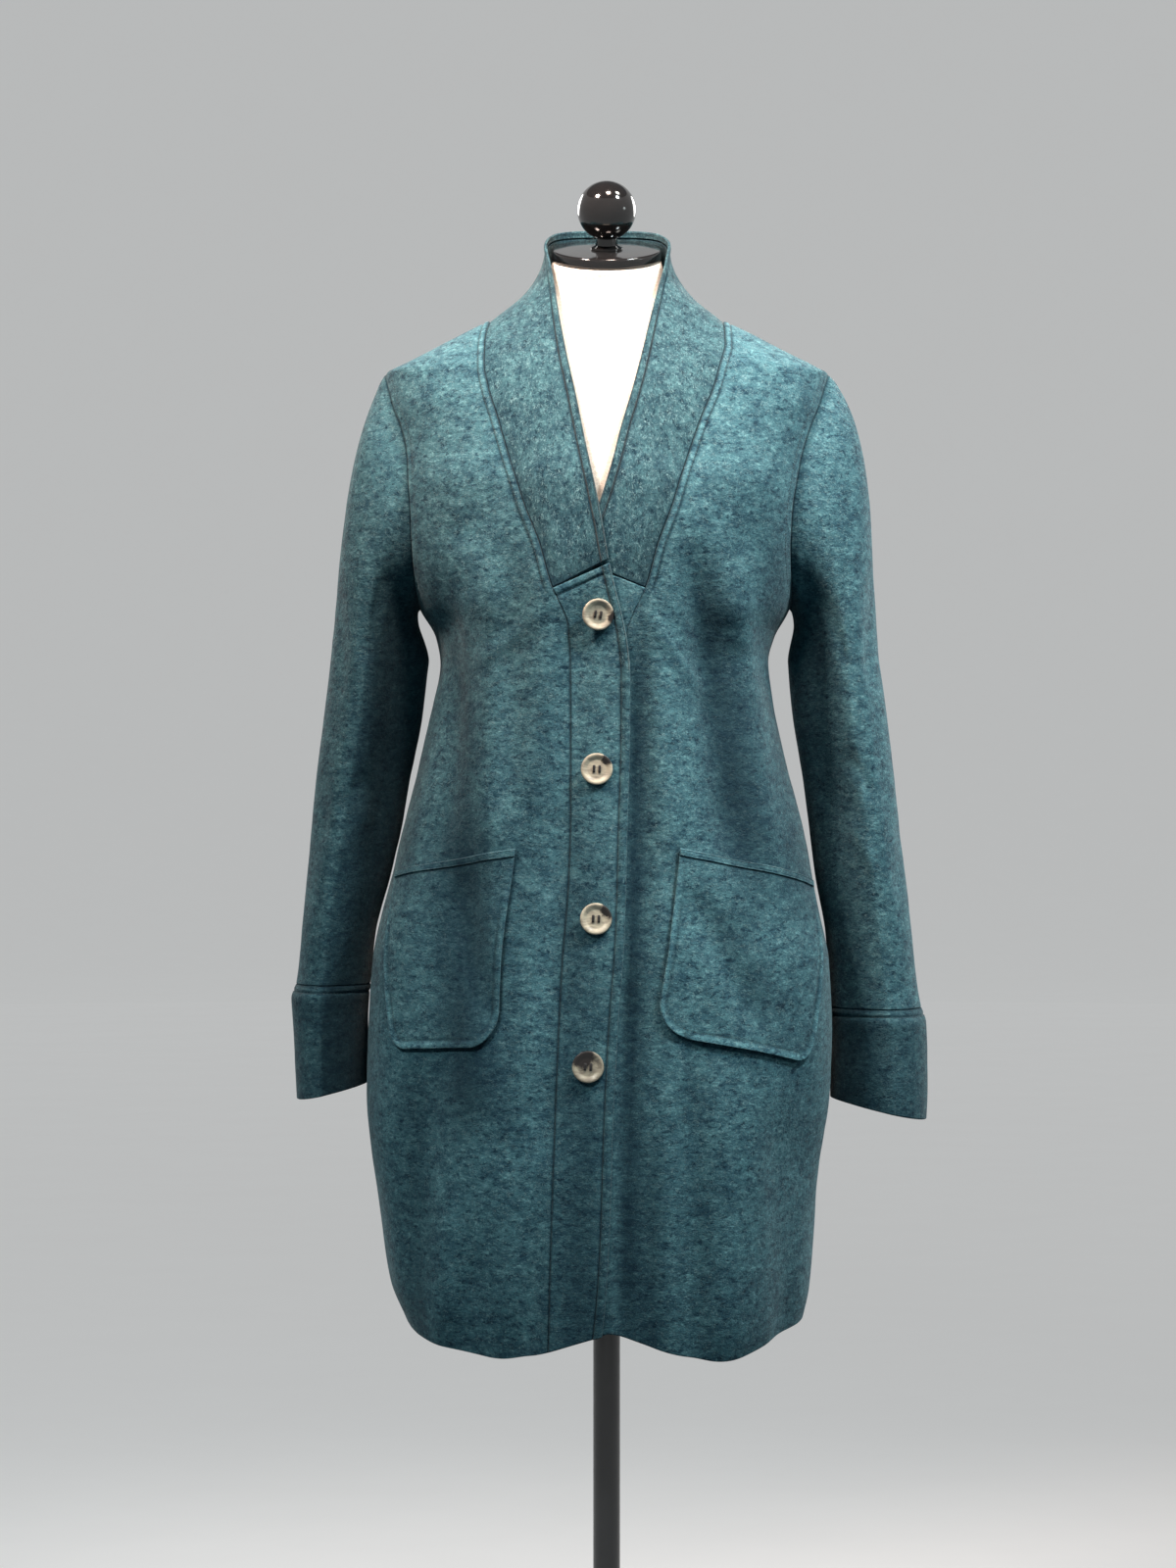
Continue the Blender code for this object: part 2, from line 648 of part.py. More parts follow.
def neckline(side, steps=240):
    """The collar's seam from the centre back to the band: places on the body, and their run."""
    x = np.linspace(0, SHOULDER_NECK_X, steps // 3)[:-1]
    z = back_neck_z(x)
    behind = np.stack([SIGN[side] * back_neck_angle(x, z), z], axis=-1)
    drop = 1 - np.cos(np.linspace(0, pi / 2, steps))
    z = SHOULDER_NECK_Z - (SHOULDER_NECK_Z - BAND_TOP_SEAM_Z) * drop
    angle = front_angle(SIGN[side] * SEAM_AT[side](z), z)
    angle[0] = SIGN[side] * pi / 2
    places = np.concatenate([behind, np.stack([angle, z], axis=-1)])
    points = body(places[:, 0], places[:, 1])
    run = np.concatenate([[0], np.cumsum(np.linalg.norm(np.diff(points, axis=0), axis=-1))])
    return run, points


def collar_stations(side):
    """Runs of the seam at which the collar has a row: those of the back's and front's points."""
    run, points = neckline(side)
    nape = np.argmax(points[:, 0] * SIGN[side] >= SHOULDER_NECK_X - 1e-4)
    out = np.linspace(0, SHOULDER_NECK_X, 6)[:-1]
    behind = np.interp(out, points[:nape, 0] * SIGN[side], run[:nape])
    _, z = inner_edge(side, panel_shares())
    z = z[z > BAND_TOP_SEAM_Z - 1e-6][::-1]
    ahead = np.interp(-z, -points[nape:, 2], run[nape:])
    return np.concatenate([behind, ahead])


def collar(side, run, across):
    """The collar's outer face: across goes from its seam, 0, to its free edge, 1."""
    along, points = neckline(side)
    seam = np.stack([np.interp(run, along, points[:, i]) for i in range(3)], axis=-1)
    at = COLLAR_AT
    edge = np.stack([SIGN[side] * at[side](run), at["y"](run), at["z"](run)], axis=-1)
    middle = (seam + edge) / 2
    inward = unit((0, NECK_CENTRE_Y, 0) - middle * (1, 1, 0))
    middle = middle + 2 * at["drawn"](run)[..., None] * inward
    w = across[..., None]
    free = seam * (1 - w) ** 2 + middle * 2 * w * (1 - w) + edge * w**2
    x, z = free[..., 0], free[..., 2]
    on_chest = body(front_angle(x, z), z)[..., 1]
    lies = at["lies"](run)
    free[..., 1] = free[..., 1] * (1 - lies) + on_chest * lies
    return free


def collar_normals(side, run, across):
    found = normals(lambda a, b: collar(side, a, b), run, across, 2e-3, 2e-2)
    return found * -SIGN[side]


# Making objects


def material(name, colour):
    made = bpy.data.materials.get(name)
    if made:
        return made
    made = bpy.data.materials.new(name)
    made.use_nodes = True
    shader = made.node_tree.nodes["Principled BSDF"]
    shader.inputs["Base Color"].default_value = (*colour[:3], 1)
    shader.inputs["Roughness"].default_value = colour[3]
    shader.inputs["Metallic"].default_value = 0.0
    made.diffuse_color = (*colour[:3], 1)
    return made


def add_object(name, points, faces, colour, crease=radians(40)):
    mesh = bpy.data.meshes.new(name)
    mesh.from_pydata([tuple(map(float, point)) for point in points], [], faces)
    shape = bmesh.new()
    shape.from_mesh(mesh)
    bmesh.ops.recalc_face_normals(shape, faces=shape.faces)
    if shape.calc_volume(signed=True) < 0:
        bmesh.ops.reverse_faces(shape, faces=shape.faces)
    shape.to_mesh(mesh)
    shape.free()
    mesh.materials.append(material(name, colour))
    mesh.shade_smooth()
    mesh.set_sharp_from_angle(angle=crease)
    made = bpy.data.objects.new(name, mesh)
    bpy.context.scene.collection.objects.link(made)
    return made


def wall(name, inner, outer, colour, ring=False):
    """A closed wall between two grids of points; a ring's last column joins its first."""
    rows, columns = outer.shape[:2]
    index = np.arange(rows * columns).reshape(rows, columns)
    if ring:
        index = np.concatenate([index, index[:, :1]], axis=1)
    under = index + rows * columns
    faces = []
    for i in range(rows - 1):
        for j in range(index.shape[1] - 1):
            corners = [(i, j), (i, j + 1), (i + 1, j + 1), (i + 1, j)]
            faces.append([int(index[c]) for c in corners])
            faces.append([int(under[c]) for c in reversed(corners)])
    rims = [(index[0], under[0]), (under[-1], index[-1])]
    if not ring:
        rims += [(under[:, 0], index[:, 0]), (index[:, -1], under[:, -1])]
    for upper, lower in rims:
        for j in range(len(upper) - 1):
            faces.append([int(upper[j + 1]), int(upper[j]), int(lower[j]), int(lower[j + 1])])
    points = np.concatenate([outer.reshape(-1, 3), inner.reshape(-1, 3)])
    return add_object(name, points, faces, colour)


def turned(name, profile, colour, centre, tilt=0.0, sides=24, facing=None):
    """A solid turned round its axis: the profile's (radius, height) points start and end on it."""
    angles = np.linspace(0, 2 * pi, sides, endpoint=False)
    points, rings, faces = [], [], []
    for radius, height in profile:
        if radius < 1e-6:
            rings.append([len(points)])
            points.append((0, 0, height))
            continue
        rings.append(list(range(len(points), len(points) + sides)))
        points += [(radius * cos(a), radius * sin(a), height) for a in angles]
    for low, high in zip(rings, rings[1:]):
        for j in range(sides):
            k = (j + 1) % sides
            below = [low[j % len(low)], low[k % len(low)]]
            above = [high[k % len(high)], high[j % len(high)]]
            faces.append(list(dict.fromkeys(below + above)))
    axis = np.array(facing) if facing is not None else np.array([0, -sin(tilt), cos(tilt)])
    side = unit(np.cross((0.0, 1.0, 0.0) if abs(axis[2]) > 0.5 else (0.0, 0.0, 1.0), axis))
    frame = np.array([side, np.cross(axis, side), axis])
    placed = np.array(points) @ frame + np.array(centre)
    return add_object(name, placed, faces, colour, radians(30))


def sheet(name, angle, z, colour, out=0.0, thick=WALL, edge_normals=None, **trims):
    """A piece of cloth on the body: out is where its outer face is, over the reference."""
    points, facing = body(angle, z), body_normals(angle, z)
    if edge_normals is not None:
        for place, found in edge_normals.items():
            facing[:, place] = found
    out = np.broadcast_to(out, points.shape[:2])[..., None]
    outer = trim(points + facing * out, **trims)
    return wall(name, outer - facing * thick, outer, colour)


def front(side):
    shares, across = panel_shares(), np.linspace(0, 1, 12)
    angle, z = front_places(side, shares, across)
    out = lap(body(angle, z)[..., 0], z) if side == "right" else 0.0
    facing = {-1: seam_with_sleeve(side, angle[:, -1], z[:, -1], "front")}
    trims = {"high": SEAM_GAP, "first": SEAM_GAP, "last": SEAM_GAP}
    sheet(f"front_{side}", angle, z, WOOL, out, edge_normals=facing, **trims)


def back():
    shares = panel_shares()
    neck = SHOULDER_NECK_X / SHOULDER_TIP_X
    half = np.concatenate([np.linspace(0, neck, 6), np.linspace(neck, 1, 6)[1:]])
    across = np.concatenate([-half[::-1], half[1:]])
    angle, z = back_places(shares, across)
    facing = {
        0: seam_with_sleeve("right", angle[:, 0], z[:, 0], "back"),
        -1: seam_with_sleeve("left", angle[:, -1], z[:, -1], "back"),
    }
    trims = {"high": SEAM_GAP, "first": SEAM_GAP, "last": SEAM_GAP}
    sheet("back", angle, z, WOOL, edge_normals=facing, **trims)


def band_places(left_x, right_x, top_left, top_right, columns):
    """Angles and heights of a strip down the front, between two functions of the height."""
    shares = panel_shares()[: SKIRT_ROWS + 1, None]
    across = np.linspace(0, 1, columns)[None, :]
    top = top_left + (top_right - top_left) * across
    z = FRONT_HEM_Z + (top - FRONT_HEM_Z) * shares / BAND_SHARE
    x = left_x(z) * (1 - across) + right_x(z) * across
    angle = front_angle(x, z)
    hem = HEM_AT(np.abs(np.degrees(angle[:1]))) - z[:1]
    return angle, z + hem * (1 - ramp(0, HEM_REACH, shares))


def bands():
    """The right front's button band with its bound edge, and the left front's hidden band."""

    def seam(z):
        return -SEAM_AT["right"](z)

    def bound(z):
        return EDGE_AT(z) - BINDING

    def hidden(z):
        return UNDERLAP_X + 0 * z

    middle = BAND_TOP_SEAM_Z + (BAND_TOP_EDGE_Z - BAND_TOP_SEAM_Z) * 0.85
    gap = SEAM_GAP
    angle, z = band_places(seam, bound, BAND_TOP_SEAM_Z, middle, 4)
    sheet("band_right", angle, z, WOOL, LAP, high=2 * gap, first=gap, last=gap)
    angle, z = band_places(bound, EDGE_AT, middle, BAND_TOP_EDGE_Z, 2)
    sheet("front_binding", angle, z, WOOL_DARK, LAP, high=2 * gap, first=gap)
    angle, z = band_places(hidden, SEAM_AT["left"], BAND_TOP_EDGE_Z, BAND_TOP_SEAM_Z, 4)
    sheet("band_left", angle, z, WOOL, high=2 * gap, last=gap)


def collar_half(side):
    stations = collar_stations(side)[:, None]
    width = np.linalg.norm(
        collar(side, stations, np.ones_like(stations)) - collar(side, stations, 0 * stations),
        axis=-1,
    )
    fold = 1 - BINDING / width
    cloth = np.linspace(0, 1, 5)[None, :] * fold
    bound = fold + (1 - fold) * np.array([[0.0, 1.0]])
    pieces = (
        ("collar", WOOL, cloth, {"first": 2 * SEAM_GAP, "last": SEAM_GAP}),
        ("neck_binding", WOOL_DARK, bound, {"first": 2 * SEAM_GAP}),
    )
    for name, colour, across, trims in pieces:
        run = np.broadcast_to(stations, across.shape)
        points, facing = collar(side, run, across), collar_normals(side, run, across)
        if side == "right":
            points = points + facing * lap(points[..., 0], points[..., 2])[..., None]
        facing[0] = unit(facing[0] * (0, 1, 1))
        outer = trim(points, low=SEAM_GAP, high=SEAM_GAP, **trims)
        wall(f"{name}_{side}", outer - facing * WALL, outer, colour)


def sleeve_and_cuff(side):
    turn = np.linspace(0, 2 * pi, SLEEVE_SIDES, endpoint=False)[None, :]
    run = np.concatenate([np.linspace(0, 1, 8), np.linspace(1, 2, 7)[1:]])[:, None]
    turns, runs = np.broadcast_arrays(turn, run)
    points, facing = sleeve(side, turns, runs), sleeve_normals(side, turns, runs)
    start = body_normals(*armhole(side, turn[0]))
    facing[0] = unit(start + sleeve_start_normals(side, turn[0]))
    facing[-1] = ring_normals(points)[-1]
    outer = trim(points, low=SEAM_GAP, high=SEAM_GAP)
    wall(f"sleeve_{side}", outer - facing * WALL, outer, WOOL, ring=True)

    turns, down = np.broadcast_arrays(turn, np.array([0, 0.12, 0.5, 1.0])[:, None])
    points = cuff(side, turns, down)
    facing = ring_normals(points)
    outer = trim(points, low=SEAM_GAP)
    wall(f"cuff_{side}", outer - facing * WALL, outer, WOOL, ring=True)


def pocket_places(side, u, v):
    """Places of a pocket: u goes from its inner to its outer edge, v from its foot to its top."""
    corner = {row[0]: row[1:] for row in POCKETS[side][1:]}
    a = {name: radians(place[0]) for name, place in corner.items()}
    z = {name: place[1] for name, place in corner.items()}
    height = (z["inner_top"] - z["inner_low"]) * v

    def inset(corner):
        return (corner - np.sqrt(corner**2 - np.clip(corner - height, 0, corner) ** 2)) / POCKET_WIDTH

    inner = a["inner_low"] * (1 - v) + a["inner_top"] * v
    outer = a["outer_low"] * (1 - v) + a["outer_top"] * v
    start, end = inset(POCKET_INNER_CORNER), 1 - inset(POCKET_OUTER_CORNER)
    u = start + u * (end - start)
    low = z["inner_low"] * (1 - u) + z["outer_low"] * u
    top = z["inner_top"] * (1 - u) + z["outer_top"] * u
    return inner * (1 - u) + outer * u, low * (1 - v) + top * v


def pocket(side):
    """A patch pocket with a bound top, lying on its front."""
    fold = 1 - POCKET_BINDING / POCKET_HEIGHT
    foot = POCKET_INNER_CORNER / POCKET_HEIGHT
    round_foot = foot * (1 - np.cos(np.linspace(0, pi / 2, 6)))
    rows = np.concatenate([round_foot, np.linspace(foot, fold, 6)[1:]])
    pieces = (
        ("pocket", WOOL, rows, WALL, {"high": SEAM_GAP}),
        ("pocket_binding", WOOL_DARK, np.array([fold, 1.0]), WALL * 1.25, {}),
    )
    for name, colour, v, thick, trims in pieces:
        u, v = np.broadcast_arrays(np.linspace(0, 1, 12)[None, :], v[:, None])
        angle, z = pocket_places(side, u, v)
        raised = lap(body(angle, z)[..., 0], z) if side == "right" else 0.0
        sheet(f"{name}_{side}", angle, z, colour, raised + LAYER_GAP + thick, thick, **trims)


def button(name, x, z):
    """A four-hole horn button's disc, dished inside its rim, on the right band."""
    angle, height = front_angle(np.array([x]), z), np.array([z])
    facing = body_normals(angle, height)[0]
    centre = body(angle, height)[0] + facing * (LAP + 0.0005)
    dish = BUTTON_HEIGHT * 0.62
    profile = (
        (0, 0),
        (BUTTON_RADIUS * 0.80, 0),
        (BUTTON_RADIUS, BUTTON_HEIGHT * 0.45),
        (BUTTON_RADIUS * 0.97, BUTTON_HEIGHT * 0.85),
        (BUTTON_RADIUS * 0.88, BUTTON_HEIGHT),
        (BUTTON_RADIUS - BUTTON_RIM, BUTTON_HEIGHT * 0.92),
        (BUTTON_RADIUS * 0.62, dish),
        (0, dish),
    )
    turned(name, profile, HORN, centre, facing=facing, sides=18)


def form_torso():
    """The torso and neck, closed below, with the neck's top tilted forward."""
    heights = np.array(column(FORM, "z"))
    z, angle = np.meshgrid(heights, np.linspace(0, 2 * pi, 32, endpoint=False), indexing="ij")
    half, front, back = FORM_AT["half"](z), FORM_AT["front"](z), FORM_AT["back"](z)
    x, y = superellipse(angle, half, front, back)
    up = np.clip((z - NECK_TILT_FROM_Z) / (NECK_TOP_Z - NECK_TILT_FROM_Z), 0, 1)
    tilt = np.tan(NECK_TILT) * up
    points = np.stack([x, y, z + tilt * (y - NECK_CENTRE_Y)], axis=-1)
    rows, columns = z.shape
    index = np.arange(rows * columns).reshape(rows, columns)
    faces = [list(map(int, index[0])), list(map(int, index[-1][::-1]))]
    for i in range(rows - 1):
        for j in range(columns):
            k = (j + 1) % columns
            loop = (index[i, j], index[i + 1, j], index[i + 1, k], index[i, k])
            faces.append([int(corner) for corner in loop])
    add_object("form_torso", points.reshape(-1, 3), faces, JERSEY)


def form_top():
    """The neck cap and the ball on it, both on the neck's tilted axis."""
    axis = np.array([0, -sin(NECK_TILT), cos(NECK_TILT)])
    neck = np.array([0, NECK_CENTRE_Y, NECK_TOP_Z])
    edge = 0.0018
    low, high = TOUCH, TOUCH + CAP_THICKNESS
    profile = (
        (0, low),
        (CAP_RADIUS - edge, low),
        (CAP_RADIUS, low + edge),
        (CAP_RADIUS, high - edge),
        (CAP_RADIUS - edge, high),
        (0, high),
    )
    turned("form_neck_cap", profile, GLOSS_BLACK, neck, NECK_TILT, sides=36)
    foot = [(0, TOUCH), (0.015, TOUCH), (0.015, 0.0022), (0.0105, 0.0042)]
    start = np.arcsin(0.0105 / BALL_RADIUS)
    turns = np.linspace(pi - start * 0.9, 0, 11)
    ball = [(BALL_RADIUS * sin(a), BALL_HEIGHT + BALL_RADIUS * cos(a)) for a in turns[:-1]]
    ball.append((0, BALL_HEIGHT + BALL_RADIUS))
    seat = neck + axis * high
    turned("form_finial", foot + ball, GLOSS_BLACK, seat, NECK_TILT, sides=22)


def stand():
    """A plain round base and pole."""
    top = BASE_THICKNESS
    profile = (
        (0, 0),
        (BASE_RADIUS - 0.002, 0),
        (BASE_RADIUS, 0.002),
        (BASE_RADIUS, top * 0.5),
        (BASE_RADIUS - 0.006, top * 0.85),
        (BASE_RADIUS - 0.030, top),
        (0, top),
    )
    turned("stand_base", profile, STAND_BLACK, (0, 0, 0), sides=40)
    reach = column(FORM, "z")[0] - TOUCH
    profile = (
        (0, top + TOUCH),
        (POLE_RADIUS * 2.2, top + TOUCH),
        (POLE_RADIUS * 2.2, top + 0.010),
        (POLE_RADIUS, top + 0.018),
        (POLE_RADIUS, reach),
        (0, reach),
    )
    turned("stand_pole", profile, STAND_BLACK, (0, 0, 0), sides=20)


def main():
    for left_over in list(bpy.data.objects):
        bpy.data.objects.remove(left_over)
    back()
    bands()
    for side in ("right", "left"):
        front(side)
        collar_half(side)
        sleeve_and_cuff(side)
        pocket(side)
    for number, (x, z) in enumerate(BUTTONS[1:], 1):
        button(f"button_{number}", x, z)
    form_torso()
    form_top()
    stand()


main()
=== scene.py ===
"""The wool jacket on its dress form, dressed for a close look.

Each piece of cloth is a thin shell on the same surface as its solid, with rounded edges, seams,
topstitching, creases and a heathered felted wool. The sizes and the surfaces down to "The scene's
own sizes" repeat the solids' ones. Metres, +Z up; the jacket faces -Y.
"""

from math import cos, pi, radians, sin

import bpy
import numpy as np
from mathutils import Matrix, Vector


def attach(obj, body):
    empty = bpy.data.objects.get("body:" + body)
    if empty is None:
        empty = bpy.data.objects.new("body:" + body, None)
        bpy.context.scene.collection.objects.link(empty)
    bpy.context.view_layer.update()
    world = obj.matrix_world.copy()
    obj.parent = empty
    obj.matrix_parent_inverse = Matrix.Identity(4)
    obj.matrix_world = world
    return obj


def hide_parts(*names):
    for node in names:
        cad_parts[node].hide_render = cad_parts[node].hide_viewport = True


# Cloth
WALL = 0.0024  # boiled wool
LAYER_GAP = 0.0008  # between a piece and the one that it lies on
LAP = WALL + LAYER_GAP  # how far the right front rides over the left one
ROUNDNESS = 2.3  # power of the flattened rings: 2 is an ellipse
BINDING = 0.008  # width of the folded edge along the neck and the front

# Heights
ARMPIT_Z = 1.150
SHOULDER_TIP_Z = 1.3677
SHOULDER_NECK_Z = 1.4165
SHOULDER_TIP_X = 0.2055
SHOULDER_NECK_X = 0.108
BACK_NECK_Z = 1.430
BICEP_Z = 1.100  # where the sleeve's cap has turned into its tube
FOLDS_FROM_Z = 0.600  # the skirt's folds keep their full depth below this
CHEST_FROM_Z = 1.080  # the panels' points follow level rings below this,
CHEST_FULL_Z = 1.200  # and straight lines across the chest above this
HEM_REACH = 0.25  # share of a panel's height in which its rows still follow the hem's curve

# Armhole: an egg on the body's side, narrower above
ARMHOLE_HALF_DEPTH = 0.070
ARMHOLE_EGG = 0.25
ARMHOLE_MIDDLE_Z = (SHOULDER_TIP_Z + ARMPIT_Z) / 2
ARMHOLE_HALF_HEIGHT = (SHOULDER_TIP_Z - ARMPIT_Z) / 2

# Head of the sleeve: how much of its way leads straight out at the shoulder, at its front and back
# and under the arm, its lean at the bicep and how far each end's direction is felt
CAP_OUT_TOP = {"right": 0.50, "left": 0.70}
CAP_OUT_MIDDLE = 0.95
CAP_OUT_UNDER = 0.85
CAP_LEAN = 0.11
CAP_TOP_TURN = 1.2  # radians from the shoulder to where its front and back begin,
CAP_UNDER_TURN = 2.2  # and to where its underside begins
CAP_START_PULL = 0.75
CAP_END_PULL = 0.90

# Button band of the right front, and the hidden one of the left front under it
BAND_TOP_SEAM_Z = 1.1616
BAND_TOP_EDGE_Z = 1.1838
UNDERLAP_X = -0.026
LAP_FROM_X = -0.095  # the right front starts to rise here,
LAP_FULL_X = -0.045  # and rides fully over the left one from here
LAP_FULL_Z = 1.24
LAP_TOP_Z = 1.33

BUTTON_RADIUS = 0.0142
BUTTON_HEIGHT = 0.0040
BUTTON_RIM = 0.0028

# Dress form
NECK_CENTRE_Y = 0.0094
NECK_TOP_Z = 1.4763
NECK_TILT = radians(19.9)
NECK_TILT_FROM_Z = 1.430
CAP_RADIUS = 0.0515
CAP_THICKNESS = 0.0100
BALL_RADIUS = 0.0273
BALL_HEIGHT = 0.0359  # of its middle, over the neck cap
POLE_RADIUS = 0.0125
BASE_RADIUS = 0.190
BASE_THICKNESS = 0.014
TOUCH = 0.0003

# Outer half-widths and depths of the jacket's body, from the floor up
BODY = (
    ("z", "right", "left", "front", "back"),
    (0.4700, 0.174, 0.171, 0.147, 0.148),
    (0.4970, 0.186, 0.182, 0.151, 0.152),
    (0.5290, 0.199, 0.188, 0.155, 0.157),
    (0.5830, 0.208, 0.192, 0.159, 0.162),
    (0.6430, 0.215, 0.195, 0.161, 0.164),
    (0.7150, 0.220, 0.202, 0.160, 0.163),
    (0.7670, 0.219, 0.205, 0.158, 0.160),
    (0.8270, 0.215, 0.203, 0.155, 0.154),
    (0.8660, 0.207, 0.194, 0.152, 0.148),
    (0.9130, 0.193, 0.184, 0.149, 0.140),
    (0.9630, 0.182, 0.175, 0.146, 0.130),
    (1.0150, 0.172, 0.164, 0.143, 0.121),
    (1.0650, 0.162, 0.153, 0.141, 0.115),
    (1.1000, 0.157, 0.149, 0.141, 0.114),
    (1.1230, 0.160, 0.155, 0.142, 0.116),
    (1.1500, 0.173, 0.170, 0.144, 0.118),
    (1.1750, 0.184, 0.176, 0.145, 0.120),
    (1.2100, 0.194, 0.182, 0.146, 0.122),
    (1.2550, 0.198, 0.188, 0.143, 0.123),
    (1.2900, 0.199, 0.194, 0.131, 0.121),
    (1.3150, 0.202, 0.199, 0.121, 0.118),
    (1.3380, 0.206, 0.204, 0.111, 0.114),
    (1.3677, 0.2055, 0.2055, 0.094, 0.106),
    (1.3710, 0.2000, 0.2000, 0.092, 0.105),
    (1.3795, 0.1835, 0.1835, 0.086, 0.101),
    (1.3890, 0.1648, 0.1648, 0.080, 0.097),
    (1.4070, 0.1300, 0.1300, 0.068, 0.090),
    (1.4165, 0.1080, 0.1080, 0.061, 0.085),
    (1.4250, 0.0880, 0.0880, 0.055, 0.081),
    (1.4400, 0.0720, 0.0720, 0.049, 0.077),
    (1.4600, 0.0640, 0.0640, 0.045, 0.072),
)

# Soft upright folds of the skirt: each fades out at its top
FOLDS = (
    ("angle", "spread", "depth", "top"),
    (-64, 12, 0.004, 0.78),
    (-37, 11, -0.006, 1.00),
    (-13, 9, 0.004, 0.98),
    (10, 6, -0.006, 1.08),
    (34, 12, 0.006, 1.00),
    (62, 10, -0.004, 0.80),
    (122, 11, 0.005, 0.82),
    (148, 11, -0.005, 0.95),
    (180, 12, 0.004, 0.90),
    (211, 11, -0.005, 0.93),
    (238, 11, 0.005, 0.80),
)

# The hem rises at the front edges and at the side seams
HEM = (
    ("angle", "z"),
    (0, 0.502),
    (8, 0.492),
    (20, 0.480),
    (31, 0.475),
    (45, 0.480),
    (62, 0.488),
    (90, 0.496),
    (120, 0.490),
    (150, 0.484),
    (180, 0.482),
)

# Where each front panel ends: at its band's seam below, and at the collar's seam above
FRONT_SEAM = (
    ("z", "right", "left"),
    (0.470, 0.0525, -0.014),
    (0.576, 0.0493, -0.007),
    (0.711, 0.0450, -0.002),
    (0.818, 0.0407, 0.004),
    (0.905, 0.0346, 0.008),
    (0.971, 0.0329, 0.010),
    (1.040, 0.0329, 0.012),
    (1.100, 0.0331, 0.012),
    (1.126, 0.0345, 0.018),
    (1.165, 0.0490, 0.035),
    (1.201, 0.0599, 0.045),
    (1.236, 0.0740, 0.058),
    (1.268, 0.0846, 0.068),
    (1.289, 0.0909, 0.075),
    (1.318, 0.0991, 0.085),
    (1.345, 0.1074, 0.096),
    (1.370, 0.1116, 0.103),
    (1.390, 0.1115, 0.108),
    (1.4165, 0.108, 0.108),
)

# Front edge of the right band, measured to the left of the middle
BAND_EDGE = (
    ("z", "x"),
    (0.470, -0.0080),
    (0.518, -0.0026),
    (0.576, 0.0009),
    (0.685, 0.0043),
    (0.772, 0.0087),
    (0.858, 0.0147),
    (0.945, 0.0173),
    (1.040, 0.0199),
    (1.084, 0.0199),
    (1.109, 0.0182),
    (1.134, 0.0139),
    (1.159, 0.0078),
    (1.184, 0.0017),
)

# Free edge of the collar, by the run of its seam from the centre back: the two half-widths, the
# place and height, how far its middle is drawn in to the neck, and how much of it lies on the chest
COLLAR = (
    ("run", "right", "left", "y", "z", "drawn", "lies"),
    (0.000, 0.0000, 0.0000, 0.066, 1.513, 0.002, 0.0),
    (0.050, 0.0300, 0.0300, 0.058, 1.511, 0.004, 0.0),
    (0.095, 0.0505, 0.0510, 0.034, 1.504, 0.009, 0.0),
    (0.147, 0.0575, 0.0590, 0.004, 1.490, 0.014, 0.0),
    (0.190, 0.0530, 0.0545, -0.022, 1.468, 0.011, 0.0),
    (0.217, 0.0485, 0.0480, -0.040, 1.446, 0.008, 0.0),
    (0.244, 0.0435, 0.0400, -0.063, 1.415, 0.004, 0.2),
    (0.274, 0.0365, 0.0310, -0.087, 1.377, 0.001, 0.7),
    (0.305, 0.0290, 0.0220, -0.108, 1.342, 0.000, 1.0),
    (0.337, 0.0220, 0.0115, -0.121, 1.306, 0.000, 1.0),
    (0.360, 0.0175, 0.0060, -0.130, 1.283, 0.000, 1.0),
    (0.395, 0.0100, -0.0040, -0.138, 1.248, 0.000, 1.0),
    (0.432, 0.0040, -0.0140, -0.142, 1.218, 0.000, 1.0),
    (0.480, -0.0018, -0.0220, -0.146, 1.1838, 0.000, 1.0),
)

# Outer size of each sleeve's tube and cuff: how far out its two edges are, its half-depth and its
# middle. The sleeves hang a little behind the side seams
SLEEVE = {
    "right": (
        ("z", "outer", "inner", "half_depth", "y"),
        (0.690, 0.2882, 0.2235, 0.053, 0.018),
        (0.740, 0.2905, 0.2230, 0.053, 0.017),
        (0.772, 0.2925, 0.2225, 0.053, 0.017),
        (0.790, 0.2938, 0.2215, 0.053, 0.016),
        (0.802, 0.2895, 0.2205, 0.050, 0.016),
        (0.850, 0.2845, 0.2155, 0.052, 0.014),
        (0.900, 0.2795, 0.2020, 0.054, 0.012),
        (0.950, 0.2745, 0.1900, 0.056, 0.010),
        (1.000, 0.2695, 0.1812, 0.058, 0.008),
        (1.050, 0.2630, 0.1710, 0.060, 0.006),
        (1.100, 0.2572, 0.1650, 0.061, 0.004),
    ),
    "left": (
        ("z", "outer", "inner", "half_depth", "y"),
        (0.670, 0.2975, 0.2090, 0.055, 0.018),
        (0.715, 0.2992, 0.2090, 0.055, 0.017),
        (0.745, 0.2988, 0.2100, 0.055, 0.017),
        (0.768, 0.2975, 0.2100, 0.055, 0.016),
        (0.780, 0.2930, 0.2095, 0.052, 0.016),
        (0.850, 0.2845, 0.2040, 0.053, 0.013),
        (0.900, 0.2785, 0.1945, 0.055, 0.011),
        (0.950, 0.2730, 0.1880, 0.057, 0.009),
        (1.000, 0.2670, 0.1815, 0.059, 0.007),
        (1.050, 0.2605, 0.1735, 0.060, 0.005),
        (1.100, 0.2530, 0.1690, 0.061, 0.004),
    ),
}
CUFF_SEAM_Z = {"right": 0.802, "left": 0.780}
CUFF_HEM_Z = {"right": 0.7015, "left": 0.6850}
CUFF_SLANT = 0.22  # the cuff's outer edge hangs lower than its inner one
RIDGE_SHIFT = 0.16  # the sleeve's front fold lies this share of its half-width out from its middle
LENS = 1.28  # over 1, the sleeve's ring comes to a soft edge at the front and back
SLEEVE_FOLD_FADE = 0.14

